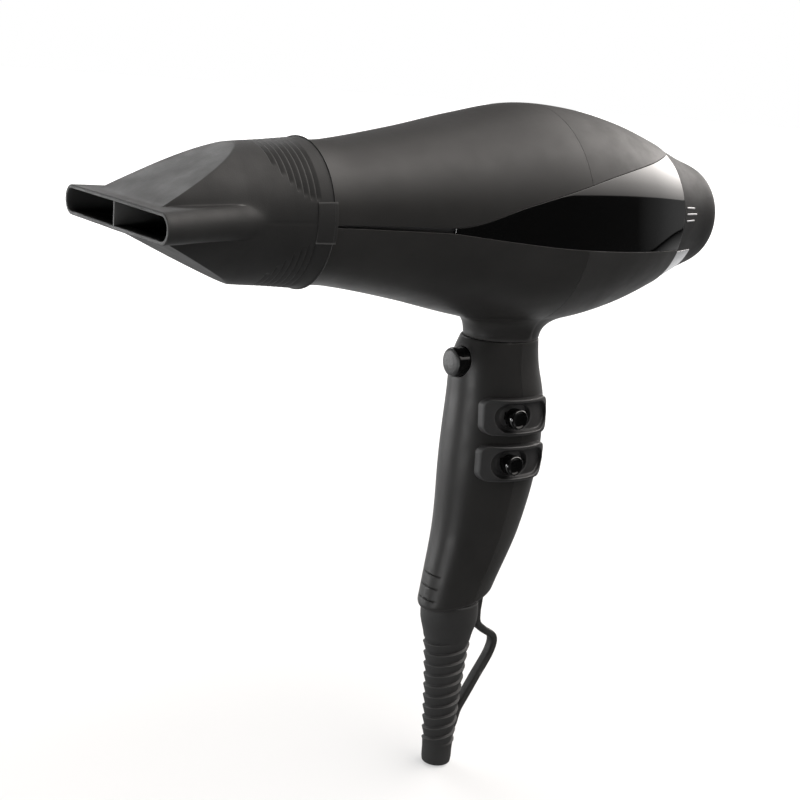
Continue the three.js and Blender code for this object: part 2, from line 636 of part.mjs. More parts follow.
function addCordEnd() {
  addPart('strain_relief', strainRelief(), softRubber());
  const route = new THREE.CatmullRomCurve3(LOOP_PATH.map(([y, z]) => new THREE.Vector3(0, y, z)));
  addPart('hanging_loop', tube(route, 20, LOOP_HALF.width, LOOP_HALF.depth, 8), softRubber());
  addPart('cord_clamp', block([-10, 10], [-13, -9], [-150, -144]), plastic(DARK_PLASTIC));
  const leads = [
    { side: -1, name: 'neutral_lead', screwName: 'clamp_screw_left', color: 0x25427a },
    { side: 1, name: 'live_lead', screwName: 'clamp_screw_right', color: 0x5a3a22 },
  ];
  for (const { side, name, screwName, color } of leads) {
    addPart(screwName, screw(2.3, 1.2, -8.6, -4.2, -2.6, { at: [side * 7, 0, -147] }), steel());
    const lead = new THREE.CatmullRomCurve3([[-10, -143.4], [-8, -135], [-6, -122], [-6, -100], [-4, -72]]
      .map(([y, z]) => new THREE.Vector3(-3 + 2 * side, y, z)));
    addPart(name, tube(lead, 8, 0.9, 0.9, 6), plastic(color));
  }
}

// ---------------------------------------------------------------- heater and outlet

const HEATER = { front: -90, rear: -36, radius: 17, coil: 18.7, sleeve: 22 };

function addOutletGrille() {
  const [from, to] = [SPIGOT_FRONT + 0.6, SPIGOT_FRONT + 2.4];
  let grille = ring(SPIGOT_BORE - 1.9, SPIGOT_BORE - GAP, from, to, { segments: 20 })
    .add(ring(12.4, 13.6, from, to, { segments: 16 })).add(rod(6, from, to, { segments: 12 }));
  for (const angle of steps(0, Math.PI, 3).slice(0, -1)) {
    const bar = new THREE.BoxGeometry(2 * SPIGOT_BORE - 2.4, to - from, 1.2).rotateY(angle);
    grille = grille.add(solidOf(bar.translate(0, (from + to) / 2, 0)));
  }
  addPart('outlet_grille', grille, mattePlastic());
}

function addHeater() {
  const { front, rear, radius, coil, sleeve } = HEATER;
  const wall = 0.8;
  const flare = [[sleeve, front - 2], [sleeve, rear], [30, -19]];
  const outside = flare.map(([r, y]) => [r + wall, y]).reverse();
  addPart('heater_sleeve', solidOf(turned([...flare, ...outside], { segments: 24 })), mica());
  const middle = (front + rear) / 2;
  const half = 0.4;
  const slot = half + GAP;
  const upright = block([-half, half], [front, rear], [-radius, radius])
    .subtract(block([-2, 2], [front - 1, middle], [-slot, slot]));
  const flat = block([-radius, radius], [front, rear], [-half, half])
    .subtract(block([-slot, slot], [middle, rear + 1], [-2, 2]));
  addPart('heater_board_upright', upright, mica());
  addPart('heater_board_flat', flat, mica());
  addPart('heater_coil_front', tube(new Helix(coil, 4, front + 2, middle - 4), 56, 0.7, 0.7, 4), steel());
  addPart('heater_coil_rear', tube(new Helix(coil, 4, middle + 2, rear - 4), 56, 0.7, 0.7, 4), steel());
  addPart('thermostat', block([half + GAP, 6], [-56, -46], [3, 11]), brass());
  addPart('thermal_fuse', rod(1.6, -60, -48, { segments: 10, at: [-half - GAP - 1.6, 0, 8] }), steel());
  addPart('ion_generator', block([-6, 6], [-10, 4], [33.3, 37.5]), plastic(DARK_PLASTIC));
  addPart('ion_needle', rod(0.6, -111.6, -93, { segments: 8, at: [7, 0, 16] }), steel());
}

// ---------------------------------------------------------------- motor and fan

const MOTOR = { front: -14, rear: 14, radius: 16.5 };
const DUCT = { inner: 32.2, outer: 33.6, front: -17, rear: 40 };
const FAN = { hub: 10, tip: 31, front: 22, rear: 36 };

// The duct stands on four feet inside the barrel; the motor's cup hangs inside it on guide vanes
function addMotorMount() {
  const at = [0, 0, -AXIS_DROP];
  let duct = ring(DUCT.inner, DUCT.outer, DUCT.front, DUCT.rear, { at, segments: 24 });
  const feet = 4;
  for (let i = 0; i < feet; i += 1) {
    const foot = new THREE.BoxGeometry(5.4, 6, 3).translate(DUCT.outer + 2.3, 0, 0);
    duct = duct.add(solidOf(foot.rotateY(((i + 0.5) * 2 * Math.PI) / feet).translate(...at)));
  }
  addPart('fan_duct', duct, mattePlastic());

  const cup = { inner: MOTOR.radius + 2 * GAP, outer: MOTOR.radius + 2 };
  let mount = ring(cup.inner, cup.outer, MOTOR.front, MOTOR.rear, { at, segments: 20 });
  const vanes = 6;
  const vaneLength = DUCT.inner - 0.8 - cup.inner; // stops just short of the duct
  for (let i = 0; i < vanes; i += 1) {
    const vane = new THREE.BoxGeometry(vaneLength, 22, 1.2).translate(cup.inner + 0.5 + vaneLength / 2, 0, 0);
    mount = mount.add(solidOf(vane.rotateY((i * 2 * Math.PI) / vanes + 0.3).translate(...at)));
  }
  addPart('motor_mount', mount, mattePlastic());
}

function addMotor() {
  const at = [0, 0, -AXIS_DROP];
  const { front, rear, radius } = MOTOR;
  const can = solidOf(turned([
    [radius, front], [radius, rear], [2.9, rear], [2.9, rear - 1], [radius - 1.2, rear - 1],
    [radius - 1.2, front + 1], [2.9, front + 1], [2.9, front]], { segments: 20, at }));
  addPart('motor_can', can, steel());
  const bush = (from) => ring(1.25, 2.6, from, from + 3, { at, segments: 12 });
  addPart('motor_bush_front', bush(front - 0.5), brass());
  addPart('motor_bush_rear', bush(rear - 2.5), brass());
  const magnetRing = ring(11.7, radius - 1.6, -6, 10, { at, segments: 20 });
  const magnet = (x) => magnetRing.intersect(block(x, [-30, 30], [-30, 30]));
  addPart('motor_magnet_right', magnet([2.5, 30]), plastic(0x3a3a3c));
  addPart('motor_magnet_left', magnet([-30, -2.5]), plastic(0x3a3a3c));
  addPart('motor_shaft', rod(1.2, front - 2, 38, { at, segments: 12 }), steel());
  addPart('armature', ring(1.5, 11.2, -5, 9, { at, segments: 18 }), metal(0x9a5a34));
  addPart('commutator', ring(1.5, 4, -10.6, -5.6, { at, segments: 12 }), brass());
  for (const side of [-1, 1]) {
    const name = side > 0 ? 'brush_upper' : 'brush_lower';
    const z = [side * 4.3, side * 9].sort((a, b) => a - b).map((height) => height - AXIS_DROP);
    addPart(name, block([-1.5, 1.5], [-10, -7], z), plastic(0x2a2a2a));
  }
}

function addImpeller() {
  const { hub, tip, front, rear } = FAN;
  const at = [0, 0, -AXIS_DROP];
  let impeller = solidOf(turned([
    [0, front], [hub, front], [hub, rear - 3], [hub - 4, rear + 1], [0, rear + 1]], { segments: 20 }));
  const blades = 9;
  for (let i = 0; i < blades; i += 1) {
    const blade = new THREE.BoxGeometry(tip - hub + 3, 15, 1.2).rotateX(0.75);
    blade.translate((tip + hub) / 2 - 1, (front + rear) / 2, 0);
    impeller = impeller.add(solidOf(blade.rotateY((i * 2 * Math.PI) / blades)));
  }
  const swept = impeller.intersect(rod(tip, front - 1, rear + 2, { segments: 24 }))
    .subtract(rod(1.5, front - 2, rear + 3, { segments: 12 }));
  addPart('impeller', solidOf(geometryOf(swept).translate(...at)), mattePlastic());
}

addHousing();
addNozzle();
addCap();
addHandle();
addCoolShot();
addCordEnd();
addOutletGrille();
addHeater();
addMotorMount();
addMotor();
addImpeller();

export default dryer;
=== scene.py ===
import bmesh
import bpy
import numpy as np
from mathutils import Matrix, Vector


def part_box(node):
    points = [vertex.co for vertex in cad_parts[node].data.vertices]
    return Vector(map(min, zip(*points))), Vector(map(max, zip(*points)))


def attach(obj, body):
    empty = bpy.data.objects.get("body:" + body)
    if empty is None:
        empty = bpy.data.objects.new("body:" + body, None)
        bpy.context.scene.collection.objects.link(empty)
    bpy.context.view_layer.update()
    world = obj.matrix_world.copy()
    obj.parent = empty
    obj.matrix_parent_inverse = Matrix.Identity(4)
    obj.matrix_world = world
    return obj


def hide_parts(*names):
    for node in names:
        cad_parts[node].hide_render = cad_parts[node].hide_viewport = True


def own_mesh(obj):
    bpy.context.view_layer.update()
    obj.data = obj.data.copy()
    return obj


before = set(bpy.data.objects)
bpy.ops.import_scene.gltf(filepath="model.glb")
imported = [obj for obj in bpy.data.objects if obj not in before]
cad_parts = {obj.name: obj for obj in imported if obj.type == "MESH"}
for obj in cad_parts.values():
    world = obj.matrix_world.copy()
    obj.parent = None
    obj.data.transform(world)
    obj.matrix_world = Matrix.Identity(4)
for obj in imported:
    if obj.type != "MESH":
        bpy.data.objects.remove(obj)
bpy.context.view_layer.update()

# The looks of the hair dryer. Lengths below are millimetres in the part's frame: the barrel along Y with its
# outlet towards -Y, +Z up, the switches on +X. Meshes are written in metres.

MM = 0.001
X, Y, Z = 0, 1, 2
LOW, HIGH = 0, 1


def side_of(node, axis, side):
    """Where a CAD node's box starts or ends along an axis, in mm."""
    return round(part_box(node)[side][axis] / MM, 3)


def centre_of(node, axis):
    """The middle of a CAD node's box along an axis, in mm."""
    return round((side_of(node, axis, LOW) + side_of(node, axis, HIGH)) / 2, 3)


# ---------------------------------------------------------------- sizes, from the frame or as in the part

BODY_FRONT, BODY_REAR = -97.4, side_of("rear_lower_shell", Y, HIGH)
SEAM_Y = (side_of("front_upper_shell", Y, HIGH) + side_of("rear_upper_shell", Y, LOW)) / 2
GAP = 0.3
SEAM = 0.05  # what shows of a seam between two shells
SHELL = 1.8  # thickness of every shell
BODY_RADII = [(BODY_FRONT, 26), (-86, 26.5), (-56, 32.1), (-26, 39), (-1, 43.4), (24, 42.4), (47.4, 38),
              (BODY_REAR, 31.3)]
DROP_LENGTH = 86  # the barrel's axis comes down over this length, ending at y 0
AXIS_DROP = 0.8
SPIGOT_FRONT, SPIGOT_REAR = side_of("front_lower_shell", Y, LOW), -96.0
SPIGOT_RADIUS, SPIGOT_BORE = 22.6, 21.0

PANEL_TIP = -50.2
PANEL_TOP = [(PANEL_TIP, -1.2), (-40.3, 0.6), (-20.7, 7.6), (19.6, 18.3), (58.7, 24.6), (75, 26.8)]
PANEL_BOTTOM = [(PANEL_TIP, -3.2), (-8.1, -7.7), (34.9, -10.5), (75, -12.1)]
PANEL_RECESS = 0.25
GROOVE_Y, GROOVE_TOP, GROOVE_BOTTOM = -120.0, -0.7, -1.2
GROOVE_OVERLAP = 1.2  # the groove's floor runs this far under the shells

MOUTH_Y, MOUTH_HALF_WIDTH = side_of("nozzle", Y, LOW), side_of("nozzle", X, HIGH)
MOUTH_HALF_HEIGHT, MOUTH_TAPER = 5.3, 0.35
TUBE_DRAFT = 0.02  # the outlet tube's half-height grows this much for each mm towards the rear
DIVIDER_HALF, DIVIDER_REAR, DIVIDER_TOP = 0.45, -148, 4.6
NOZZLE_WALL = 1.4
FACET_FRONT, FACET_SLOPE = -162.1, 0.5376
COLLAR_REAR, COLLAR_BORE = -97.7, 24.4
COLLAR_RADII = [(MOUTH_Y, 24.7), (-130, 24.7), (-113, 25.9), (COLLAR_REAR, 27.3), (-96, 27.3)]
COLLAR_GROOVES, COLLAR_GROOVE_PITCH, COLLAR_GROOVE_DEPTH, LAST_GROOVE_Y = 7, 2.28, 0.6, -104.4
TAB_FRONT, TAB_REAR, TAB_BORE = -104.3, side_of("nozzle", Y, HIGH), 24.6
TAB_HALF_ANGLE = 15.5  # degrees; the collar's grooves end here too

CAP_FRONT, CAP_REAR = side_of("rear_trim_strip", Y, LOW), side_of("rear_cap", Y, HIGH)
CAP_RADIUS, CAP_CORNER, CAP_CONE = side_of("rear_cap", X, HIGH), 25.7, 13.3
CAP_CORNER_Y = CAP_FRONT + CAP_CONE
SLEEVE_FRONT, SLEEVE_RADIUS, SLEEVE_BORE = side_of("rear_cap", Y, LOW), 28.5, 27  # it slides into the barrel
INTAKE = 15.0
GRILLE_FRONT, GRILLE_REAR = 98.2, 100.2
GRILLE_RINGS = [(12.9, INTAKE + 0.3), (7.8, 9.2)]
SPOKES = 8
STRIP_TOP_Z = side_of("rear_trim_strip", Z, HIGH)
STRIP_LENGTH = round(side_of("rear_trim_strip", Y, HIGH) - CAP_FRONT, 3)
STRIP_RISE, STRIP_ROOT = 0.18, 0.5
MARKS_FRONT, MARK_HALF_WIDTH = 71.4, 0.33
MARKS = [(7.6, 12.2), (9.5, 7.1), (7.4, 1.7)]  # length in mm, degrees above +X

NECK_Y, NECK_DEPTH, NECK_WIDTH, NECK_FOOT = 3.4, 16.2, 14.4, -50.0
NECK_FRONT_FILLET, NECK_REAR_FILLET = 5.0, 11.5
NECK_SUNK, NECK_LIFT = 1.2, 0.4  # how far its rim runs into the barrel, and its inside lies higher
NECK_FOOT_STEP = 0.3  # the foot's edge stands out a little
HANDLE_TOP = side_of("handle_front_shell", Z, HIGH)
HANDLE_CENTRES = [(48, 3.4), (60, 1.6), (75, 3.2), (100, 2.9), (130, -0.5), (155, -7.4), (168, -11)]
HANDLE_HALF_DEPTHS = [(48, 16.2), (60, 18.9), (75, 21), (100, 21.8), (130, 19.1), (155, 15.9), (168, 14.6)]
HANDLE_WAIST = 100  # depth below the barrel's axis that its columns are spaced for
ROUNDNESS = 0.87  # half-width over half-depth
BASE_Y, BASE_Z, BASE_SLOPE, BASE_FILLET = -25.0, -165.1, 0.2456, 2.4
ARCS_Z = (-149.4, -154.7, -160.0)
ARC_HALF_WIDTH, ARC_HALF_LENGTH, ARC_DEPTH = 0.42, 5.9, 0.4

BUTTON_Z, BUTTON_FACE = centre_of("cool_shot_button", Z), side_of("cool_shot_button", Y, LOW)
BUTTON_REAR, BUTTON_FLANGE = side_of("cool_shot_button", Y, HIGH), side_of("cool_shot_button", X, HIGH)
BUTTON_RADIUS, BUTTON_WELL_REAR = 6.0, -5
SPRING = {"front": -8.6, "rear": -5.2, "seat": -4.8, "radius": 3.0, "wire": 0.4, "turns": 3, "pressed": 0.6}
SWITCHES = {label: [centre_of(label + "_bezel", axis) for axis in (Y, Z)] for label in ("speed", "heat")}
PAD = (30.6, 14.7, 3.4)  # length, height and corner radius of a switch's pad, its dish and its opening
DISH = (26.6, 12.2, 6.1)
POCKET = (14.0, 9.3, 4.65)
DISH_SHIFT = 1.4
KNOB_Y, KNOB_FACE = centre_of("speed_knob", Y), side_of("speed_knob", X, HIGH)
KNOB_RADIUS, KNOB_BASE, KNOB_TRAVEL = 4.15, 18.9, 4.8
STEM_HALF, STEM_END = 1.6, side_of("speed_knob", X, LOW)
POCKET_Y = KNOB_Y + KNOB_TRAVEL / 2
SCREWS_Z = {label: centre_of("handle_screw_" + label, Z) for label in ("upper", "lower")}
SCREW_WELL, SCREW_WELL_FRONT = 3.2, {"upper": 8, "lower": 0}

RELIEF_Y, RELIEF_BOTTOM, RELIEF_BORE = -10.3, side_of("strain_relief", Z, LOW), 3.3
RELIEF_TOP, RELIEF_COLUMNS = -162.0, 128
RELIEF_RADII = [(5, RELIEF_BOTTOM), (6.1, -236.2), (6.4, -230), (7.9, -200), (9, -186), (10.1, -178),
                (12.0, -170), (11.8, RELIEF_TOP)]
RIB_TOP, RIB_BOTTOM, RIB_PITCH, RIB_STARTS = -178.0, -227.5, 4.9, 2
RIB_DEPTH, RIB_ROOT, RIB_LEDGE = 1.05, 0.62, 0.12  # the ledge is a share of the pitch
LOOP_PATH = [(5.1, -157), (4.6, -165), (4.2, -170.5), (5, -175.6), (9, -179.4), (14.6, -183.8),
             (13.6, -190.5), (7.2, -200.5), (2.4, -208), (-1.2, -213.5), (-5.5, -221)]
STRAP_HALF_WIDTH, STRAP_HALF_THICKNESS = 2.4, 1.6

# The studio's glow, by the angle round a barrel's skin that shows it from the front right, in degrees
SKY_GLOW = [(17.6, 0.8), (25, 1.9), (30, 3.0), (36, 4.4), (42, 5.8), (47, 5.4), (52, 3.4), (60, 2.6),
            (68, 1.4), (76, 0.5), (90, 0.15)]
SKY_BASE, SKY_REAR = 0.03, 0.2
SKY_AXIS = (-0.70, -0.095)  # x and z of the line, along Y, that the glow turns about
SKY_TINT = (1, 0.955, 0.92)
LOW_GLOW = 0.85
FLOOR_GAP = 0.4  # the floor lies this far under the strain relief

# ---------------------------------------------------------------- mesh helpers

ROLL_ANGLES = np.radians([0, 22.5, 45, 67.5])  # steps of a rolled edge
SHARP = 35  # degrees between two faces from which their edge stays sharp


def curve(pairs):
    """A smooth function through (position, value) pairs: cubic, with straight ends."""
    x = np.array([p[0] for p in pairs], float)
    v = np.array([p[1] for p in pairs], float)
    m = np.zeros_like(v)
    m[1:-1] = (v[2:] - v[:-2]) / (x[2:] - x[:-2])
    m[0] = 1.5 * (v[1] - v[0]) / (x[1] - x[0]) - 0.5 * m[1]
    m[-1] = 1.5 * (v[-1] - v[-2]) / (x[-1] - x[-2]) - 0.5 * m[-2]

    def at(q):
        q = np.clip(np.asarray(q, float), x[0], x[-1])
        i = np.clip(np.searchsorted(x, q) - 1, 0, len(x) - 2)
        h = x[i + 1] - x[i]
        t = (q - x[i]) / h
        return ((2 * t**3 - 3 * t**2 + 1) * v[i] + (t**3 - 2 * t**2 + t) * h * m[i]
                + (3 * t**2 - 2 * t**3) * v[i + 1] + (t**3 - t**2) * h * m[i + 1])
    return at


def smoothstep(t):
    t = np.clip(t, 0, 1)
    return t * t * (3 - 2 * t)


def rounded(points, radius, steps=4):
    """An open polyline with each inner corner replaced by a short curve."""
    points = [np.array(p, float) for p in points]
    out = [points[0]]
    for before, corner, after in zip(points, points[1:], points[2:]):
        a, b = before - corner, after - corner
        cut = min(radius, 0.45 * np.linalg.norm(a), 0.45 * np.linalg.norm(b))
        start = corner + a / np.linalg.norm(a) * cut
        end = corner + b / np.linalg.norm(b) * cut
        for t in np.linspace(0, 1, steps + 1):
            out.append((1 - t) ** 2 * start + 2 * t * (1 - t) * corner + t * t * end)
    out.append(points[-1])
    return np.array(out)


def rolled(length, count, radius):
    """Distances across a span whose two edges are rolled over, and how deep each one lies."""
    edge, deep = radius * (1 - np.cos(ROLL_ANGLES)), radius * (1 - np.sin(ROLL_ANGLES))
    middle = np.linspace(radius, length - radius, count)
    across = np.concatenate([edge, middle, length - edge[::-1]])
    return across, np.concatenate([deep, np.zeros(count), deep[::-1]])


def finish_mesh(name, vertices, faces, sharp=SHARP, weighted=True):
    """A Blender object from vertices in mm: merged, faces turned outwards, smooth with sharp edges."""
    mesh = bpy.data.meshes.new(name)
    mesh.from_pydata([tuple(v) for v in np.asarray(vertices) * MM], [], faces)
    work = bmesh.new()
    work.from_mesh(mesh)
    bmesh.ops.remove_doubles(work, verts=work.verts, dist=1e-6)
    bmesh.ops.dissolve_degenerate(work, edges=work.edges, dist=1e-7)
    bmesh.ops.recalc_face_normals(work, faces=work.faces)
    work.to_mesh(mesh)
    work.free()
    piece = bpy.data.objects.new(name, mesh)
    bpy.context.scene.collection.objects.link(piece)
    soften(piece, sharp, weighted)
    return piece


def soften(piece, sharp=SHARP, weighted=True):
    """Smooth shading that stops at the sharp edges."""
    piece.data.shade_smooth()
    piece.data.set_sharp_from_angle(angle=np.radians(sharp))
    if weighted:
        modifier = piece.modifiers.new("even_shading", "WEIGHTED_NORMAL")
        modifier.keep_sharp = True


def thick(name, outer, inner, **options):
    """A closed shell between an outer and an inner grid of points."""
    rows, columns = outer.shape[:2]
    layer = rows * columns

    def at(k, i, j):
        return k * layer + i * columns + j

    faces = []
    for i in range(rows - 1):
        for j in range(columns - 1):
            faces.append((at(0, i, j), at(0, i, j + 1), at(0, i + 1, j + 1), at(0, i + 1, j)))
            faces.append((at(1, i, j), at(1, i + 1, j), at(1, i + 1, j + 1), at(1, i, j + 1)))
    for i in (0, rows - 1):
        faces += [(at(0, i, j), at(0, i, j + 1), at(1, i, j + 1), at(1, i, j)) for j in range(columns - 1)]
    for j in (0, columns - 1):
        faces += [(at(0, i, j), at(0, i + 1, j), at(1, i + 1, j), at(1, i, j)) for i in range(rows - 1)]
    return finish_mesh(name, np.concatenate([outer.reshape(-1, 3), inner.reshape(-1, 3)]), faces, **options)


def around(name, grid, close_rows=False, cap_ends=False, **options):
    """A surface whose columns close on themselves, and whose rows may too."""
    rows, columns = grid.shape[:2]
    faces = []
    for i in range(rows if close_rows else rows - 1):
        for j in range(columns):
            k, n = (i + 1) % rows, (j + 1) % columns
            faces.append((i * columns + j, i * columns + n, k * columns + n, k * columns + j))
    if cap_ends:
        faces.append(tuple(range(columns)))
        faces.append(tuple((rows - 1) * columns + j for j in range(columns)))
    return finish_mesh(name, grid.reshape(-1, 3), faces, **options)


def turned_grid(profile, axis, at=(0, 0, 0), segments=96):
    """The grid of a profile of (radius, height) points turned about an axis."""
    angles = np.linspace(0, 2 * np.pi, segments, endpoint=False)
    radius, height = np.asarray(profile, float).T
    a, b = radius[:, None] * np.cos(angles), radius[:, None] * np.sin(angles)
    h = np.repeat(height[:, None], segments, axis=1)
    order = {"x": (h, a, b), "y": (a, h, b), "z": (a, b, h)}[axis]
    return np.stack(order, axis=2) + np.array(at, float)


def turned(name, profile, axis, at=(0, 0, 0), segments=96, radius=0.3, closed=False, **options):
    """A turned solid with its corners rounded. An open profile starts and ends on the axis."""
    if closed:
        middle = (np.array(profile[0], float) + np.array(profile[-1], float)) / 2
        profile = rounded([middle, *profile, middle], radius)[:-1]
    else:
        profile = rounded(profile, radius)
    return around(name, turned_grid(profile, axis, at, segments), close_rows=closed, **options)


def box(name, low, high, bevel=0.3, segments=3):
    """A block between two corners with its edges rounded."""
    ends = (low, high)
    corners = [[ends[i][X], ends[j][Y], ends[k][Z]] for i in (0, 1) for j in (0, 1) for k in (0, 1)]
    faces = [(0, 1, 3, 2), (4, 6, 7, 5), (0, 4, 5, 1), (2, 3, 7, 6), (0, 2, 6, 4), (1, 5, 7, 3)]
    piece = finish_mesh(name, corners, faces, weighted=False)
    edge = piece.modifiers.new("bevel", "BEVEL")
    edge.width, edge.segments = bevel * MM, segments
    bake_modifiers(piece)
    soften(piece)
    return piece


def bake_modifiers(piece):
    """Replaces a piece's mesh with what its modifiers make of it."""
    bpy.context.view_layer.update()
    evaluated = piece.evaluated_get(bpy.context.evaluated_depsgraph_get())
    mesh = bpy.data.meshes.new_from_object(evaluated)
    piece.modifiers.clear()
    piece.data = mesh


def cut(piece, *cutters):
    """Cuts the cutters out of a piece and removes them."""
    piece.modifiers.clear()
    for cutter in cutters:
        cutter.modifiers.clear()
        boolean = piece.modifiers.new("cut", "BOOLEAN")
        boolean.operation, boolean.solver, boolean.object = "DIFFERENCE", "EXACT", cutter
        bake_modifiers(piece)
        bpy.data.objects.remove(cutter)
    soften(piece)
    return piece


def join(piece, *others):
    """Joins other pieces' meshes to a piece, as they are."""
    work = bmesh.new()
    for part in (piece, *others):
        work.from_mesh(part.data)
    work.to_mesh(piece.data)
    work.free()
    for part in others:
        bpy.data.objects.remove(part)
    piece.modifiers.clear()
    soften(piece)
    return piece


def place(piece, body, slot, material, *nodes):
    """Puts a piece on its body, with its finish and the CAD nodes that it stands for."""
    piece.data.materials.clear()
    piece.data.materials.append(material)
    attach(piece, body)
    if nodes:
        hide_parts(*nodes)
    return piece


# ---------------------------------------------------------------- materials


WORN_POINTINESS = (0.52, 0.6)  # where wear starts and where it is full


class Nodes:
    """A material's node tree, with short calls to add to it."""

    def __init__(self, name):
        self.material = bpy.data.materials.new(name)
        self.material.use_nodes = True
        self.tree = self.material.node_tree
        self.shader = self.tree.nodes["Principled BSDF"]
        self.place = self.add("ShaderNodeTexCoord").outputs["Object"]

    def add(self, kind, **settings):
        node = self.tree.nodes.new(kind)
        for key, value in settings.items():
            setattr(node, key, value)
        return node

    def link(self, source, target):
        self.tree.links.new(source, target)

    def noise(self, scale, detail=4, roughness=0.6, stretch=None):
        node = self.add("ShaderNodeTexNoise")
        node.inputs["Scale"].default_value = scale
        node.inputs["Detail"].default_value = detail
        node.inputs["Roughness"].default_value = roughness
        source = self.place
        if stretch:
            mapping = self.add("ShaderNodeMapping")
            mapping.inputs["Scale"].default_value = stretch
            self.link(source, mapping.inputs["Vector"])
            source = mapping.outputs["Vector"]
        self.link(source, node.inputs["Vector"])
        return node.outputs["Fac"]

    def spread(self, source, low, high, from_low=0.3, from_high=0.7):
        """A value mapped from one range to another."""
        node = self.add("ShaderNodeMapRange")
        node.inputs["From Min"].default_value = from_low
        node.inputs["From Max"].default_value = from_high
        node.inputs["To Min"].default_value = low
        node.inputs["To Max"].default_value = high
        self.link(source, node.inputs["Value"])
        return node.outputs["Result"]

    def mix(self, factor, first, second):
        """A colour between two, each a colour or a socket."""
        node = self.add("ShaderNodeMix", data_type="RGBA")
        self.link(factor, node.inputs["Factor"])
        for value, socket in ((first, node.inputs[6]), (second, node.inputs[7])):
            if isinstance(value, tuple):
                socket.default_value = (*value, 1)
            else:
                self.link(value, socket)
        return node.outputs[2]

    def bump(self, heights):
        """Bumps laid on each other, each a height socket and a depth in mm."""
        normal = None
        for height, depth in heights:
            node = self.add("ShaderNodeBump")
            node.inputs["Distance"].default_value = depth * MM
            node.inputs["Strength"].default_value = 1
            self.link(height, node.inputs["Height"])
            if normal:
                self.link(normal, node.inputs["Normal"])
            normal = node.outputs["Normal"]
        self.link(normal, self.shader.inputs["Normal"])

    def wear(self):
        """Rises from 0 to 1 on the outward edges of the mesh."""
        node = self.add("ShaderNodeNewGeometry")
        return self.spread(node.outputs["Pointiness"], 0, 1, *WORN_POINTINESS)


def plastic(name, colour, roughness, grain=2600, grain_depth=0.012, spread=0.06, worn=0.35, specular=0.5,
            coat=0.0):
    """Moulded plastic: fine grain, slow variation of colour and roughness, edges a little lighter."""
    nodes = Nodes(name)
    slow = nodes.noise(28, 3)
    fine = nodes.noise(grain, 2, 0.5)
    smudge = nodes.noise(95, 5, 0.65)
    dark = tuple(0.86 * c for c in colour)
    light = tuple(1.14 * c for c in colour)
    base = nodes.mix(nodes.spread(slow, 0, 1), dark, light)
    edge = tuple(min(1, c + 0.05 * worn + 0.9 * worn * c) for c in colour)
    nodes.link(nodes.mix(nodes.wear(), base, edge), nodes.shader.inputs["Base Color"])
    uneven = nodes.spread(smudge, roughness - spread, roughness + spread)
    nodes.link(uneven, nodes.shader.inputs["Roughness"])
    nodes.shader.inputs["Specular IOR Level"].default_value = specular
    nodes.shader.inputs["Coat Weight"].default_value = coat
    nodes.shader.inputs["Coat Roughness"].default_value = 0.03
    nodes.bump([(fine, grain_depth)])
    return nodes.material


def metal(name, colour, roughness, brushed=None):
    """Metal with fine scratches, drawn out along one direction where it is brushed."""
    nodes = Nodes(name)
    scratches = nodes.noise(900, 4, 0.6, brushed or (1, 1, 1))
    patches = nodes.noise(60, 4, 0.6)
    shade = tuple(0.82 * c for c in colour)
    nodes.link(nodes.mix(nodes.spread(patches, 0, 1), shade, colour), nodes.shader.inputs["Base Color"])
    nodes.link(nodes.spread(scratches, 0.7 * roughness, 1.5 * roughness), nodes.shader.inputs["Roughness"])
    nodes.shader.inputs["Metallic"].default_value = 1
    nodes.bump([(scratches, 0.004)])
    return nodes.material


satin = plastic("satin_charcoal", (0.018, 0.0176, 0.0172), 0.4, worn=0.5, specular=0.25)
satin_rear = plastic("satin_charcoal_rear", (0.023, 0.0226, 0.0222), 0.46, worn=0.5, specular=0.25)
matte = plastic("matte_nozzle", (0.015, 0.015, 0.015), 0.6, grain=1900, grain_depth=0.03, worn=0.9,
                specular=0.25)
cap_finish = plastic("satin_cap", (0.013, 0.013, 0.0133), 0.52, worn=0.4, specular=0.2)
gloss = plastic("piano_black", (0.0008, 0.0008, 0.0008), 0.05, grain=300, grain_depth=0.0006, spread=0.015,
                worn=0.05, coat=0.5)
bezel_finish = plastic("matte_bezel", (0.018, 0.018, 0.0185), 0.5, grain=2200, grain_depth=0.014, worn=0.9)
rubber = plastic("soft_rubber", (0.022, 0.022, 0.022), 0.58, grain=1500, grain_depth=0.02, worn=0.7,
                 specular=0.3)
inner = plastic("inner_nylon", (0.03, 0.03, 0.031), 0.6, grain=1200, grain_depth=0.02)
chrome = metal("bright_chrome", (0.6, 0.6, 0.61), 0.16)
mark_finish = metal("brushed_marks", (0.92, 0.92, 0.93), 0.42)
steel = metal("zinc_steel", (0.55, 0.55, 0.56), 0.3, (1, 8, 1))
brass = metal("brass", (0.72, 0.52, 0.22), 0.3)
copper = metal("enamelled_copper", (0.66, 0.28, 0.13), 0.35, (1, 12, 1))
mica = plastic("mica", (0.46, 0.37, 0.24), 0.5, grain=500, grain_depth=0.03, worn=0.2)
board = plastic("fibre_board", (0.02, 0.11, 0.045), 0.45, grain=800, grain_depth=0.01)
ferrite = plastic("ferrite", (0.045, 0.045, 0.048), 0.7, grain=900, grain_depth=0.03)
brown = plastic("brown_lead", (0.09, 0.035, 0.015), 0.45)
blue = plastic("blue_lead", (0.01, 0.05, 0.22), 0.45)

# ---------------------------------------------------------------- barrel

body_radius = curve(BODY_RADII)
panel_top = curve(PANEL_TOP)
panel_bottom = curve(PANEL_BOTTOM)


def axis_drop(y):
    """How far the barrel's axis lies below the outlet's."""
    return AXIS_DROP * smoothstep((y + DROP_LENGTH) / DROP_LENGTH)


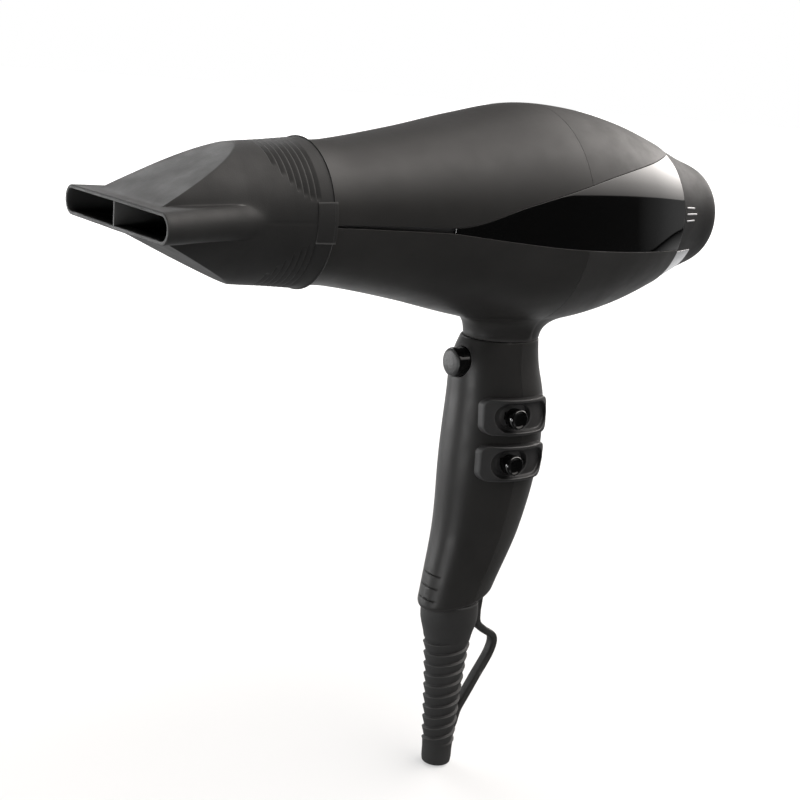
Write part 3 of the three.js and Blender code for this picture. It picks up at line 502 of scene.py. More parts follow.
def on_barrel(y, angle, depth=0.0):
    """A point of the barrel's skin, or this deep under it."""
    radius = body_radius(y) - depth
    return np.stack([radius * np.cos(angle), y + 0 * angle, radius * np.sin(angle) - axis_drop(y)], axis=-1)


def angle_at(y, z):
    """Angle above +X at which the barrel's skin is at height z."""
    return np.arcsin(np.clip((z + axis_drop(y)) / body_radius(y), -1, 1))


def upper_edge(y):
    """Height at which the upper shell ends: over the panel, and over the groove in front of it."""
    front = GROOVE_TOP + (PANEL_TOP[0][1] - GROOVE_TOP) * (y - GROOVE_Y) / (PANEL_TIP - GROOVE_Y)
    return np.where(y < PANEL_TIP, front, panel_top(y))


def lower_edge(y):
    """Height at which the lower shell ends."""
    front = GROOVE_BOTTOM + (PANEL_BOTTOM[0][1] - GROOVE_BOTTOM) * (y - GROOVE_Y) / (PANEL_TIP - GROOVE_Y)
    return np.where(y < PANEL_TIP, front, panel_bottom(y))


def barrel_patch(name, front, rear, low, high, rows=64, columns=72, recess=0.0, roll=0.12, thickness=SHELL):
    """A piece of the barrel's skin between two planes and two edges. Each edge gives an angle for a y."""
    along, deep_along = rolled(rear - front, rows, roll)
    y = front + along
    radius = body_radius(y)
    outer, inner_grid = [], []
    for place_y, r, depth in zip(y, radius, deep_along):
        start, end = low(place_y), high(place_y)
        across, deep_across = rolled((end - start) * r, columns, roll)
        angle = start + across / r
        depths = np.maximum(depth, deep_across) + recess
        outer.append(on_barrel(place_y, angle, depths))
        inner_grid.append(on_barrel(place_y, angle, recess + thickness))
    return thick(name, np.array(outer), np.array(inner_grid))


def upper_low(y):
    return angle_at(y, upper_edge(y))


def upper_high(y):
    return np.pi - upper_low(y)


def lower_low(y):
    return -np.pi - angle_at(y, lower_edge(y))


def lower_high(y):
    return angle_at(y, lower_edge(y))


def neck_grid(is_rear, rows=16, columns=56):
    """Half of the flared neck, from the handle's top to just inside the barrel."""
    seam = SEAM_Y + (SEAM / 2 if is_rear else -SEAM / 2)

    def point(t, turn):
        cos, sin = np.cos(turn), np.sin(turn)
        x, dy = NECK_WIDTH * sin, NECK_DEPTH * cos
        fillet = NECK_FRONT_FILLET + (NECK_REAR_FILLET - NECK_FRONT_FILLET) * (cos + 1) / 2
        spread = 1 + fillet / np.hypot(x, dy)
        under = [-np.sqrt(body_radius(NECK_Y + k * dy) ** 2 - (k * x) ** 2) - axis_drop(NECK_Y + k * dy)
                 for k in (1, spread)]
        foot = np.stack([x, NECK_Y + dy, NECK_FOOT + 0 * x], axis=-1)
        corner = np.stack([x, NECK_Y + dy, under[0]], axis=-1)
        rim = np.stack([x * spread, NECK_Y + dy * spread, under[1]], axis=-1)
        t = np.asarray(t)[..., None]
        return (1 - t) ** 2 * foot + 2 * t * (1 - t) * corner + t * t * rim

    def seam_turn(t, side):
        """The angle at which this row crosses the ring seam, found by halving."""
        near, far = side * 0.02, side * (np.pi / 2 + 0.6)
        for _ in range(40):
            between = (near + far) / 2
            if point(t, np.array(between))[..., Y] > seam:
                near = between
            else:
                far = between
        return between

    grid = []
    for t in np.linspace(0, 1, rows):
        right, left = seam_turn(t, 1), seam_turn(t, -1)
        first, last = (left, right) if is_rear else (right, 2 * np.pi + left)
        grid.append(point(np.full(columns, t), np.linspace(first, last, columns)))
    sunk = grid[-1] + np.array([0, 0, NECK_SUNK])
    return np.array([*grid, sunk])


def neck_piece(name, is_rear):
    outer = neck_grid(is_rear)
    centre = np.array([0, NECK_Y, 0])
    inward = outer - centre
    inward[..., 2] = 0
    inward /= np.linalg.norm(inward, axis=2, keepdims=True)
    inner_grid = outer - inward * SHELL
    inner_grid[..., 2] = outer[..., 2] + NECK_LIFT
    inner_grid[0, :, 2] = outer[0, :, 2]
    outer[0] -= inward[0] * NECK_FOOT_STEP
    return thick(name, outer, inner_grid)


def build_shells():
    seam_front, seam_rear = SEAM_Y - SEAM / 2, SEAM_Y + SEAM / 2
    pieces = [
        ("front_upper_skin", BODY_FRONT, seam_front, upper_low, upper_high, satin, "front_upper_shell"),
        ("rear_upper_skin", seam_rear, BODY_REAR, upper_low, upper_high, satin_rear, "rear_upper_shell"),
        ("front_lower_skin", BODY_FRONT, seam_front, lower_low, lower_high, satin, "front_lower_shell"),
        ("rear_lower_skin", seam_rear, BODY_REAR, lower_low, lower_high, satin_rear, "rear_lower_shell"),
    ]
    for name, front, rear, low, high, material, node in pieces:
        skin = barrel_patch(name, front, rear, low, high)
        if "lower" in name:
            skin = join(skin, neck_piece(name + "_neck", is_rear="rear" in name))
        if name == "front_lower_skin":
            spigot = [(SPIGOT_BORE, SPIGOT_FRONT), (SPIGOT_RADIUS, SPIGOT_FRONT),
                      (SPIGOT_RADIUS, SPIGOT_REAR), (SPIGOT_BORE, SPIGOT_REAR)]
            skin = join(skin, turned("spigot", spigot, "y", closed=True))
        place(skin, "housing", "satin_body", material, node)


def strip_edges(side, top, bottom, outset):
    """The two edges of a strip along one side of the barrel, from the heights of its top and bottom."""
    def upper(y):
        return angle_at(y, top(y) + outset)

    def lower(y):
        return angle_at(y, bottom(y) - outset)

    def mirrored(edge):
        return lambda y: np.pi - edge(y)

    return (lower, upper) if side > 0 else (mirrored(upper), mirrored(lower))


def build_panels():
    """The gloss panel on each side, and the floor of the groove that runs forward from its tip."""
    for side, label in ((1, "right"), (-1, "left")):
        low, high = strip_edges(side, panel_top, panel_bottom, -SEAM)
        panel = barrel_patch("gloss_panel_" + label, PANEL_TIP + GAP, BODY_REAR, low, high,
                             rows=80, columns=30, recess=PANEL_RECESS, roll=0.25)
        place(panel, "housing", "gloss_trim", gloss, "side_panel_" + label)

        low, high = strip_edges(side, upper_edge, lower_edge, GROOVE_OVERLAP)
        groove = barrel_patch("groove_floor_" + label, BODY_FRONT, PANEL_TIP + 2, low, high,
                              rows=20, columns=6, recess=SHELL + 0.1, roll=0.1, thickness=0.6)
        place(groove, "housing", "satin_body", inner)


# ---------------------------------------------------------------- nozzle

TUBE_COLUMNS, SIDE_COLUMNS, FACET_COLUMNS = 24, 26, 18
PARTING_FRONT, PARTING_DEPTH, PARTING_HALF_ANGLE = -123, 0.12, 0.012
EVEN_FROM = -126  # over the 7 mm behind here the columns become evenly spaced
INSIDE_BLEND = 0.02  # the blend of the inside's surfaces, where no fillet shows
FLAT = 1e-4  # keeps a division by a sine finite


def soft_larger(a, b, blend):
    """The larger of two values, with a fillet of about this size where they cross."""
    return 0.5 * (a + b + np.sqrt((a - b) ** 2 + blend**2) - blend)


def facet_height(y, inset):
    """Height of the flat facets over the nozzle's axis."""
    return MOUTH_HALF_HEIGHT + FACET_SLOPE * max(y - FACET_FRONT, 0) - inset


def collar_radius(y, inset=0.0):
    return np.interp(y, *zip(*COLLAR_RADII)) - inset


def nozzle_faceted(y, angle, inset):
    """Distance of the cone with its two flat facets from the nozzle's axis."""
    wedge = facet_height(y, inset) / np.maximum(np.sin(angle), FLAT)
    return -soft_larger(-collar_radius(y, inset), -wedge, 0.25)


def nozzle_tube(y, angle, inset):
    """Distance of the flattened outlet tube from the nozzle's axis."""
    sin, cos = np.sin(angle), np.cos(angle)
    height = MOUTH_HALF_HEIGHT + TUBE_DRAFT * (y - MOUTH_Y) - inset
    width = MOUTH_HALF_WIDTH - MOUTH_TAPER * (y - MOUTH_Y) - inset
    straight = width - height
    flat = height / np.maximum(sin, FLAT)
    round_end = straight * cos + np.sqrt(np.maximum(height**2 - (straight * sin) ** 2, 0))
    return np.where(flat * cos <= straight, flat, round_end)


def nozzle_radius(y, angle, inset):
    """Distance of the nozzle's wall from its axis. The fillet grows for 12 mm behind the facets' front."""
    blend = 0.9 * np.clip((y - FACET_FRONT) / 12, 0.02, 1) if inset == 0 else INSIDE_BLEND
    return soft_larger(nozzle_tube(y, angle, inset), nozzle_faceted(y, angle, inset), blend)


def spaced(y, inset, low, high, count):
    """Angles between two, gathered where the outline is long or turns."""
    fine = np.linspace(low, high, 500)
    radius = nozzle_radius(y, fine, inset)
    points = np.stack([radius * np.cos(fine), radius * np.sin(fine)], axis=1)
    step = np.diff(points, axis=0)
    length = np.linalg.norm(step, axis=1)
    turning = np.abs(np.diff(np.unwrap(np.arctan2(step[:, 1], step[:, 0]))))
    weight = length / length.sum() + 0.8 * np.append(turning, 0) / max(turning.sum(), 0.2)
    total = np.concatenate([[0], np.cumsum(weight)])
    return np.interp(np.linspace(0, total[-1], count + 1), total, fine)


def nozzle_quarter(y, inset):
    """The angles of one quarter of a ring. Columns follow the tube's and the facet's edges."""
    fine = np.linspace(0.0005, np.pi / 2, 3000)
    tube_ahead = nozzle_tube(y, fine, inset) > nozzle_faceted(y, fine, inset) + 0.02
    tube_edge = fine[tube_ahead].max() if tube_ahead.any() else 0.0
    facet_edge = np.arcsin(min(facet_height(y, inset) / collar_radius(y, inset), 0.999))
    tube_edge = max(min(tube_edge, facet_edge - 0.02), 0.03)
    parts = [spaced(y, inset, 0, tube_edge, TUBE_COLUMNS),
             spaced(y, inset, tube_edge, facet_edge, SIDE_COLUMNS)[1:],
             spaced(y, inset, facet_edge, np.pi / 2, FACET_COLUMNS)[1:]]
    followed = np.concatenate(parts)
    even = np.linspace(0, np.pi / 2, len(followed))
    share = smoothstep((y - EVEN_FROM) / 7)
    return (1 - share) * followed + share * even


def nozzle_row(y, inset):
    """One ring of the nozzle."""
    quarter = nozzle_quarter(y, inset)
    radius = nozzle_radius(y, quarter, inset)
    back = quarter[::-1]
    angles = np.concatenate([quarter, np.pi - back[1:], np.pi + quarter[1:], 2 * np.pi - back[1:-1]])
    radius = np.concatenate([radius, radius[::-1][1:], radius[1:], radius[::-1][1:-1]])
    if inset < NOZZLE_WALL / 2:
        radius = radius - nozzle_detail(y, angles)
    return np.stack([radius * np.cos(angles), np.full(len(angles), y), radius * np.sin(angles)], axis=1)


def nozzle_detail(y, angle):
    """How deep the stepped grooves and the parting line are cut."""
    from_side = np.abs(np.arcsin(np.sin(angle)))
    depth = np.zeros_like(angle)
    for k in range(COLLAR_GROOVES):
        behind = y - (LAST_GROOVE_Y - COLLAR_GROOVE_PITCH * k)
        ending = np.radians(TAB_HALF_ANGLE + 0.85 * k * k)
        shape = np.clip(1 + behind / 0.2, 0, 1) if behind < 0 else np.clip(1 - behind / 1.6, 0, 1)
        depth = np.maximum(depth, COLLAR_GROOVE_DEPTH * shape * smoothstep((from_side - ending) / 0.07))
    line = np.clip(1 - from_side / PARTING_HALF_ANGLE, 0, 1) * smoothstep((y - PARTING_FRONT) / 2)
    return np.maximum(depth, PARTING_DEPTH * line)


def nozzle_rows():
    """The rings of the nozzle's wall: lip, outside and collar's rim, then the inside back to the lip."""
    roll = 0.4
    lip = [(MOUTH_Y + roll * (1 - np.cos(a)), roll * (1 - np.sin(a))) for a in ROLL_ANGLES]
    rim = [(COLLAR_REAR - roll * (1 - np.cos(a)), roll * (1 - np.sin(a))) for a in ROLL_ANGLES[::-1]]
    grooved = COLLAR_REAR - 21.5  # finer rows from here on, for the grooves
    coarse, fine = np.arange(MOUTH_Y + roll, grooved, 1.1), np.arange(grooved, COLLAR_REAR - roll, 0.19)
    outside = [(y, 0.0) for y in (*coarse, *fine)]
    rows = [nozzle_row(y, inset) for y, inset in [*lip, *outside, *rim]]
    unit = nozzle_row(COLLAR_REAR, 0) * [1, 0, 1]
    unit /= np.linalg.norm(unit, axis=1, keepdims=True)
    rows += [unit * COLLAR_BORE + [0, y, 0] for y in (COLLAR_REAR, SPIGOT_FRONT - 1)]
    rows += [nozzle_row(y, NOZZLE_WALL) for y in np.linspace(SPIGOT_FRONT - 2.4, MOUTH_Y + 0.3, 34)]
    rows.append(nozzle_row(MOUTH_Y, NOZZLE_WALL - 0.2))
    return np.array(rows)


def build_tab(side):
    """The thumb tab on one side of the collar's rim."""
    half = np.radians(TAB_HALF_ANGLE)
    span = np.linspace(-half, half, 24) + (0 if side > 0 else np.pi)
    along, deep = rolled(TAB_REAR - TAB_FRONT, 12, 0.15)
    outer, inside = [], []
    for y, depth in zip(TAB_FRONT + along, deep):
        r = collar_radius(y) + 0.06 - depth
        outer.append(np.stack([r * np.cos(span), np.full(24, y), r * np.sin(span)], axis=1))
        inside.append(np.stack([TAB_BORE * np.cos(span), np.full(24, y), TAB_BORE * np.sin(span)], axis=1))
    return thick(f"tab_{side}", np.array(outer), np.array(inside))


def build_nozzle():
    sharp = 32
    skin = around("nozzle_skin", nozzle_rows(), close_rows=True, sharp=sharp)
    low, high = (-DIVIDER_HALF, MOUTH_Y + 0.1, -DIVIDER_TOP), (DIVIDER_HALF, DIVIDER_REAR, DIVIDER_TOP)
    divider = box("divider", low, high, bevel=0.2)
    skin = join(skin, divider, build_tab(1), build_tab(-1))
    soften(skin, sharp)
    skin.modifiers.clear()
    place(skin, "nozzle", "nozzle_plastic", matte, "nozzle")


def build_snap_ring():
    bore, radius = SPIGOT_RADIUS + GAP, side_of("nozzle_snap_ring", X, HIGH)
    front, rear = (side_of("nozzle_snap_ring", Y, side) for side in (LOW, HIGH))
    section = [(bore, front), (radius, front), (radius, rear), (bore, rear)]
    ring = turned("snap_ring", section, "y", closed=True, radius=0.2)
    place(ring, "nozzle_ring", "inner_plastic", inner, "nozzle_snap_ring")


# ---------------------------------------------------------------- rear cap

CAP_CENTRE = (0, 0, -AXIS_DROP)


def cap_radius(y):
    """Outer radius of the cap's cone."""
    return CAP_RADIUS - (CAP_RADIUS - CAP_CORNER) * (y - CAP_FRONT) / CAP_CONE


def bezier(start, first, second, end, count):
    """Points along a cubic curve with two handles."""
    t = np.linspace(0, 1, count)[:, None]
    start, first, second, end = (np.array(p, float) for p in (start, first, second, end))
    return (1 - t) ** 3 * start + 3 * t * (1 - t) ** 2 * first + 3 * t * t * (1 - t) * second + t**3 * end


def build_cap():
    lip_bore, lip_front = INTAKE - 0.2, CAP_REAR - 2.2
    curved = bezier((CAP_CORNER, CAP_CORNER_Y), (21.4, 94.35), (21.8, CAP_REAR), (INTAKE + 0.5, CAP_REAR), 28)
    cone = [(cap_radius(y), y) for y in np.linspace(CAP_FRONT, CAP_CORNER_Y, 14)[:-1]]
    inside = bezier((lip_bore, lip_front), (20, CAP_REAR - 2), (19.6, 93.4), (23.9, CAP_CORNER_Y), 16)
    front = rounded([(SLEEVE_RADIUS, CAP_FRONT), cone[0], cone[1]], 0.5)
    lip = rounded([curved[-1], (lip_bore, CAP_REAR), (lip_bore, lip_front)], 0.6)
    outside = [(SLEEVE_RADIUS, SLEEVE_FRONT), *front, *cone[2:], *curved[:-1]]
    profile = np.array([*outside, *lip, *inside, (SLEEVE_BORE, CAP_FRONT + 4), (SLEEVE_BORE, SLEEVE_FRONT)])
    skin = around("cap_skin", turned_grid(profile, "y", CAP_CENTRE, 144), close_rows=True)
    place(skin, "rear_cap", "cap_plastic", cap_finish, "rear_cap")


def build_grille():
    """Two rings, a hub and spokes across the intake."""
    grille = []
    for index, (low, high) in enumerate(GRILLE_RINGS):
        section = [(low, GRILLE_FRONT), (high, GRILLE_FRONT), (high, GRILLE_REAR), (low, GRILLE_REAR)]
        grille.append(turned(f"ring_{index}", section, "y", CAP_CENTRE, closed=True, radius=0.45))
    hub = [(0, GRILLE_FRONT - 0.2), (4, GRILLE_FRONT - 0.2), (4, GRILLE_REAR + 0.1), (0, GRILLE_REAR + 0.7)]
    grille.append(turned("hub", hub, "y", CAP_CENTRE, radius=0.6, segments=48))
    for index in range(SPOKES):
        spoke = box(f"spoke_{index}", (3, GRILLE_FRONT, -0.65), (13.6, GRILLE_REAR - 0.1, 0.65), bevel=0.4)
        turn = Matrix.Rotation(index * 2 * np.pi / SPOKES, 4, "Y")
        spoke.data.transform(Matrix.Translation((0, 0, -AXIS_DROP * MM)) @ turn)
        grille.append(spoke)
    grille = join(*grille)
    grille.name = "intake_grille"
    place(grille, "rear_cap", "cap_plastic", matte)


def build_strip():
    """The bright strip round the underside of the cap's cone."""
    ys, deep_y = rolled(STRIP_LENGTH, 18, 0.25)
    outer, inside_grid = [], []
    for y, depth in zip(CAP_FRONT + ys, deep_y):
        radius = cap_radius(y)
        top = np.arcsin((STRIP_TOP_Z + AXIS_DROP) / radius)
        across, deep = rolled((np.pi + 2 * top) * radius, 90, 0.25)
        angle = -np.pi - top + across / radius
        skin = radius + STRIP_RISE - np.maximum(depth, deep)
        for grid, r in ((outer, skin), (inside_grid, radius - STRIP_ROOT)):
            grid.append(np.stack([r * np.cos(angle), y + 0 * angle, r * np.sin(angle) - AXIS_DROP], axis=1))
    strip = thick("trim_strip", np.array(outer), np.array(inside_grid))
    place(strip, "rear_cap", "bright_trim", chrome, "rear_trim_strip")


def build_marks():
    """Three bright marks on the side of the cap."""
    slope = np.arctan((CAP_RADIUS - CAP_CORNER) / CAP_CONE)
    for index, (length, degrees) in enumerate(MARKS):
        y = MARKS_FRONT + length / 2
        low, high = (-0.4, -length / 2, -MARK_HALF_WIDTH), (0.2, length / 2, MARK_HALF_WIDTH)
        mark = box(f"bright_mark_{index + 1}", low, high, bevel=0.15)
        move = (Matrix.Translation((0, 0, -AXIS_DROP * MM)) @ Matrix.Rotation(-np.radians(degrees), 4, "Y")
                @ Matrix.Translation((cap_radius(y) * MM, y * MM, 0)) @ Matrix.Rotation(slope, 4, "Z"))
        mark.data.transform(move)
        place(mark, "rear_cap", "bright_trim", mark_finish, f"cap_mark_{index + 1}")


# ---------------------------------------------------------------- handle

handle_centre = curve(HANDLE_CENTRES)
handle_half = curve(HANDLE_HALF_DEPTHS)


def on_handle(depth, turn, offset=0.0):
    """A point of the handle's skin: turn 0 faces the rear, a quarter turn the switch side."""
    half = handle_half(depth)
    x = (half * ROUNDNESS + offset) * np.sin(turn)
    y = handle_centre(depth) + (half + offset) * np.cos(turn)
    return np.stack([x, y, -depth + 0 * turn], axis=-1)


def base_depth(turn):
    """Depth at which the slanted underside cuts the handle in one direction."""
    depth = np.full_like(turn, 162.0)  # a first guess, made good by each pass
    for _ in range(12):
        y = handle_centre(depth) + handle_half(depth) * np.cos(turn)
        depth = -(BASE_Z + BASE_SLOPE * (y - BASE_Y))
    return depth


def handle_rows(bottom):
    """Each row's depth and how far it lies under the skin, for this depth of the handle's bottom edge."""
    top = -HANDLE_TOP
    span = (bottom - BASE_FILLET - top) / 111.0
    fine = np.arange(96.6, 110.4, 0.22)  # finer rows for the arcs
    rows = [(top + along * span, deep) for along, deep in ((0.0, 0.3), (0.1, 0.12), (0.3, 0.02))]
    rows += [(top + along * span, 0.0) for along in np.concatenate([np.linspace(0.6, 96.4, 60), fine])]
    for angle in np.radians([0, 15, 30, 45, 60, 75, 90]):
        rows.append((bottom - BASE_FILLET + BASE_FILLET * np.sin(angle), BASE_FILLET * (1 - np.cos(angle))))
    rows.append((bottom, 5.0))
    return rows


def handle_piece(name, start, end, columns=84):
    """Half of the handle, with its bottom edge rounded over and turned in under the base."""
    half = handle_half(HANDLE_WAIST)
    across, deep_across = rolled((end - start) * half, columns, 0.12)
    turn = start + across / half
    bottom = base_depth(turn)
    is_front = np.pi / 2 < (start + end) / 2 < 1.5 * np.pi
    outer, inside = [], []
    for depth, deep in handle_rows(bottom):
        offset = -np.maximum(deep, deep_across)
        if is_front:
            x = handle_half(depth) * ROUNDNESS * np.sin(turn)
            for arc in ARCS_Z:
                line = np.clip(1 - np.abs(-depth - arc) / ARC_HALF_WIDTH, 0, 1)
                offset = offset - ARC_DEPTH * line * smoothstep((ARC_HALF_LENGTH - np.abs(x)) / 1.2)
        outer.append(on_handle(depth, turn, offset))
        inside.append(on_handle(np.minimum(depth, bottom - 1.6), turn, -np.maximum(SHELL, deep)))
    return thick(name, np.array(outer), np.array(inside))


def pockets():
    """Cutters for the two openings that the knobs slide in."""
    cutters = []
    for switch, (_, z) in SWITCHES.items():
        ring = side_ring(POCKET_Y, z, *POCKET)
        rows = [np.stack([np.full(len(ring), x), ring[:, 0], ring[:, 1]], axis=1) for x in (10.0, 40.0)]
        cutters.append(around(f"{switch}_opening", np.array(rows), cap_ends=True))
    return cutters


def well(name, z, radius, front, rear, **options):
    """A cutter along Y for a round well."""
    profile = [(0, front), (radius, front), (radius, rear), (0, rear)]
    return turned(name, profile, "y", (0, 0, z), radius=0.01, **options)


def build_handle():
    quarter = np.pi / 2
    seam = SEAM / 2 / float(handle_half(HANDLE_WAIST))
    front = handle_piece("handle_front_skin", quarter + seam, 3 * quarter - seam)
    cut(front, well("well", BUTTON_Z, BUTTON_RADIUS + 0.35, -40, BUTTON_WELL_REAR), *pockets())
    place(front, "housing", "satin_body", satin, "handle_front_shell")

    rear = handle_piece("handle_rear_skin", -quarter + seam, quarter - seam)
    wells = [well("well_" + label, z, SCREW_WELL, SCREW_WELL_FRONT[label], 40, segments=48)
             for label, z in SCREWS_Z.items()]
    cut(rear, *wells, *pockets())
    place(rear, "housing", "satin_body", satin_rear, "handle_rear_cover")


def build_screws():
    """Two cross-head screws in the wells of the rear cover."""
    for label, z in SCREWS_Z.items():
        skin = float(handle_centre(-z) + handle_half(-z))
        profile = [(0, skin - 16), (0.6, skin - 16), (1.4, skin - 14), (1.4, skin - 4.4), (2.8, skin - 4.4),
                   (2.8, skin - 3.1), (2.2, skin - 2.6), (0, skin - 2.5)]
        head = turned("head_" + label, profile, "y", (0, 0, z), segments=48)
        slots = [box(f"slot_{label}_{i}", (-a, skin - 3.9, z - b), (a, skin, z + b), bevel=0.05)
                 for i, (a, b) in enumerate([(1.6, 0.35), (0.35, 1.6)])]
        cut(head, *slots)
        head.name = "screw_" + label
        place(head, "housing", "steel", steel, "handle_screw_" + label)


# ---------------------------------------------------------------- switches and button


def side_ring(centre_y, centre_z, length, height, corner, quarter=28):
    """A rounded rectangle in the side view, the same number of points in each quarter."""
    u, v = length / 2, height / 2
    corner = min(corner, u, v)
    arc = np.linspace(0, np.pi / 2, 12)
    turned_corner = [(u - corner + corner * np.cos(a), v - corner + corner * np.sin(a)) for a in arc]
    path = np.array([(u, 0.0), *turned_corner, (0.0, v)])
    lengths = np.concatenate([[0], np.cumsum(np.linalg.norm(np.diff(path, axis=0), axis=1))])
    at = np.linspace(0, lengths[-1], quarter + 1)
    q = np.stack([np.interp(at, lengths, path[:, 0]), np.interp(at, lengths, path[:, 1])], axis=1)
    loop = np.concatenate([q[:-1], (q * [-1, 1])[::-1][:-1], (q * [-1, -1])[:-1], (q * [1, -1])[::-1][:-1]])
    return loop + [centre_y, centre_z]


def skin_x(y, z):
    """Where the handle's skin is on the switch side."""
    half = handle_half(-z)
    t = np.clip((y - handle_centre(-z)) / half, -0.97, 0.97)
    return half * ROUNDNESS * np.sqrt(1 - t * t)


def build_bezel(label, centre_y, centre_z):
    """A switch's pad with its dished opening. It follows the handle's skin."""
    pad, dish, slot = (centre_y, *PAD), (centre_y + DISH_SHIFT, *DISH), (POCKET_Y, *POCKET)
    steps = [(slot, 0.05, -1.5), (slot, 0, 0.4), (slot, -0.15, 0.7), (slot, -0.5, 0.82)]
    for share in (0.25, 0.5, 0.75):
        between = tuple(s + (d - s) * share for s, d in zip(slot, dish))
        steps.append((between, 0.6 * share, 0.85 + 0.25 * share**2))
    steps += [(dish, 0.7, 1.25), (dish, 0.4, 1.6), (dish, 0.22, 2.4), (dish, 0.05, 2.85), (dish, -0.12, 3.0),
              (dish, -0.35, 3.02), (pad, 0.55, 2.98), (pad, 0.22, 2.88), (pad, 0.06, 2.65), (pad, 0, 2.3),
              (pad, -0.1, 0.05), (pad, -0.1, -1.0)]
    rows = []
    for (y, length, tall, corner), shrink, height in steps:
        ring = side_ring(y, centre_z, length - 2 * shrink, tall - 2 * shrink, max(corner - shrink, 0.4))
        rows.append(np.stack([skin_x(ring[:, 0], ring[:, 1]) + height, ring[:, 0], ring[:, 1]], axis=1))
    rows.append(np.stack([rows[-1][:, X] - 0.5, rows[0][:, Y], rows[0][:, Z]], axis=1))
    bezel = around(f"{label}_bezel_pad", np.array(rows), close_rows=True, sharp=40)
    place(bezel, "housing", "nozzle_plastic", bezel_finish, label + "_bezel")

    low, high = (15.2, POCKET_Y - 8, centre_z - 5.4), (16.0, POCKET_Y + 8, centre_z + 5.4)
    floor = box(f"{label}_pocket_floor", low, high)
    place(floor, "housing", "inner_plastic", inner)


def build_knob(label, centre_z):
    """A switch's round knob with a dished face, on its stem."""
    r, face = KNOB_RADIUS, KNOB_FACE
    profile = [(0, KNOB_BASE), (r - 0.5, KNOB_BASE), (r - 0.15, KNOB_BASE + 0.5), (r, face - 1.0),
               (r - 0.1, face - 0.35), (r - 0.45, face), (r - 0.8, face - 0.12), (r - 1.6, face - 0.55),
               (1.2, face - 0.85), (0, face - 0.88)]
    knob = turned(f"{label}_slide_knob", profile, "x", (0, KNOB_Y, centre_z), radius=0.3)
    stem = box("stem", (STEM_END, KNOB_Y - STEM_HALF, centre_z - STEM_HALF),
               (KNOB_BASE + 1, KNOB_Y + STEM_HALF, centre_z + STEM_HALF), bevel=0.2)
    place(join(knob, stem), label + "_slider", "gloss_trim", gloss, label + "_knob")


def build_button():
    face, flange_front = BUTTON_FACE, BUTTON_REAR - 1.2
    profile = [(0, face - 0.2), (2.4, face - 0.12), (4.4, face + 0.15), (5.1, face + 0.4), (5.7, face + 0.75),
               (BUTTON_RADIUS, face + 1.5), (BUTTON_RADIUS, flange_front), (BUTTON_FLANGE, flange_front),
               (BUTTON_FLANGE, BUTTON_REAR), (0, BUTTON_REAR)]
    button = turned("cool_shot_cap", profile, "y", (0, 0, BUTTON_Z), radius=0.25)
    place(button, "cool_shot", "gloss_trim", button_finish(), "cool_shot_button")


def build_spring():
    """The return spring behind the button, made at its rest length; nothing here shortens it as the button
    goes in.
    """
    path_angle = np.linspace(0, 2 * np.pi * SPRING["turns"], 120)
    round_angle = np.linspace(0, 2 * np.pi, 12, endpoint=False)
    lift = np.linspace(SPRING["front"], SPRING["rear"], 120)
    r = SPRING["radius"] + SPRING["wire"] * np.cos(round_angle)
    x = np.cos(path_angle)[:, None] * r
    z = np.sin(path_angle)[:, None] * r + BUTTON_Z
    y = lift[:, None] + SPRING["wire"] * np.sin(round_angle)
    spring = around("return_spring", np.stack([x, y, z], axis=2), cap_ends=True, sharp=60)
    spring.modifiers.clear()
    place(spring, "housing", "steel", steel, "cool_shot_spring")
    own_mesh(spring)


def button_finish():
    """Gloss on the wall, a fine pebbled texture on the face."""
    nodes = Nodes("cool_shot_black")
    geometry = nodes.add("ShaderNodeSeparateXYZ")
    nodes.link(nodes.place, geometry.inputs["Vector"])
    on_face = nodes.spread(geometry.outputs["Y"], 1, 0, (BUTTON_FACE + 0.5) * MM, (BUTTON_FACE + 0.9) * MM)
    pebbles = nodes.noise(1500, 3, 0.5)
    grain = nodes.add("ShaderNodeMath", operation="MULTIPLY")
    nodes.link(pebbles, grain.inputs[0])
    nodes.link(on_face, grain.inputs[1])
    colour = nodes.mix(on_face, (0.003, 0.003, 0.003), (0.007, 0.007, 0.007))
    nodes.link(colour, nodes.shader.inputs["Base Color"])
    nodes.link(nodes.spread(on_face, 0.1, 0.42, 0, 1), nodes.shader.inputs["Roughness"])
    nodes.bump([(grain.outputs[0], 0.14)])
    return nodes.material


# ---------------------------------------------------------------- cord end

relief_radius = curve([(z, r) for r, z in RELIEF_RADII])


def build_relief():
    """The strain relief, with a double thread of stepped ribs, as a tube round its bore."""
    heights = np.concatenate([np.linspace(RELIEF_BOTTOM, -236, 6), np.linspace(-235.6, -228, 12),
                              np.arange(-227.8, -176, 0.22), np.linspace(-175.6, RELIEF_TOP, 18)])
    turns = np.linspace(0, 2 * np.pi, RELIEF_COLUMNS, endpoint=False)

    def ring(radius, height):
        z = np.full(RELIEF_COLUMNS, height)
        return np.stack([radius * np.cos(turns), RELIEF_Y + radius * np.sin(turns), z], axis=1)

    rows = [ring(RELIEF_BORE, height) for height in (RELIEF_TOP, RELIEF_BOTTOM)]
    for height in heights:
        phase = ((RIB_TOP - height) / RIB_PITCH - RIB_STARTS * (0.5 - turns / (2 * np.pi))) % 1.0
        ledge = np.where(phase < RIB_LEDGE, phase / RIB_LEDGE, 1 - (phase - RIB_LEDGE) / (1 - RIB_LEDGE))
        ribbed = smoothstep((RIB_TOP - height) / 2.5) * smoothstep((height - RIB_BOTTOM) / 1.5)
        rows.append(ring(float(relief_radius(height)) + ribbed * (RIB_DEPTH * ledge - RIB_ROOT), height))
    relief = around("relief_boot", np.array(rows), close_rows=True, sharp=50)
    place(relief, "housing", "soft_rubber", rubber, "strain_relief")


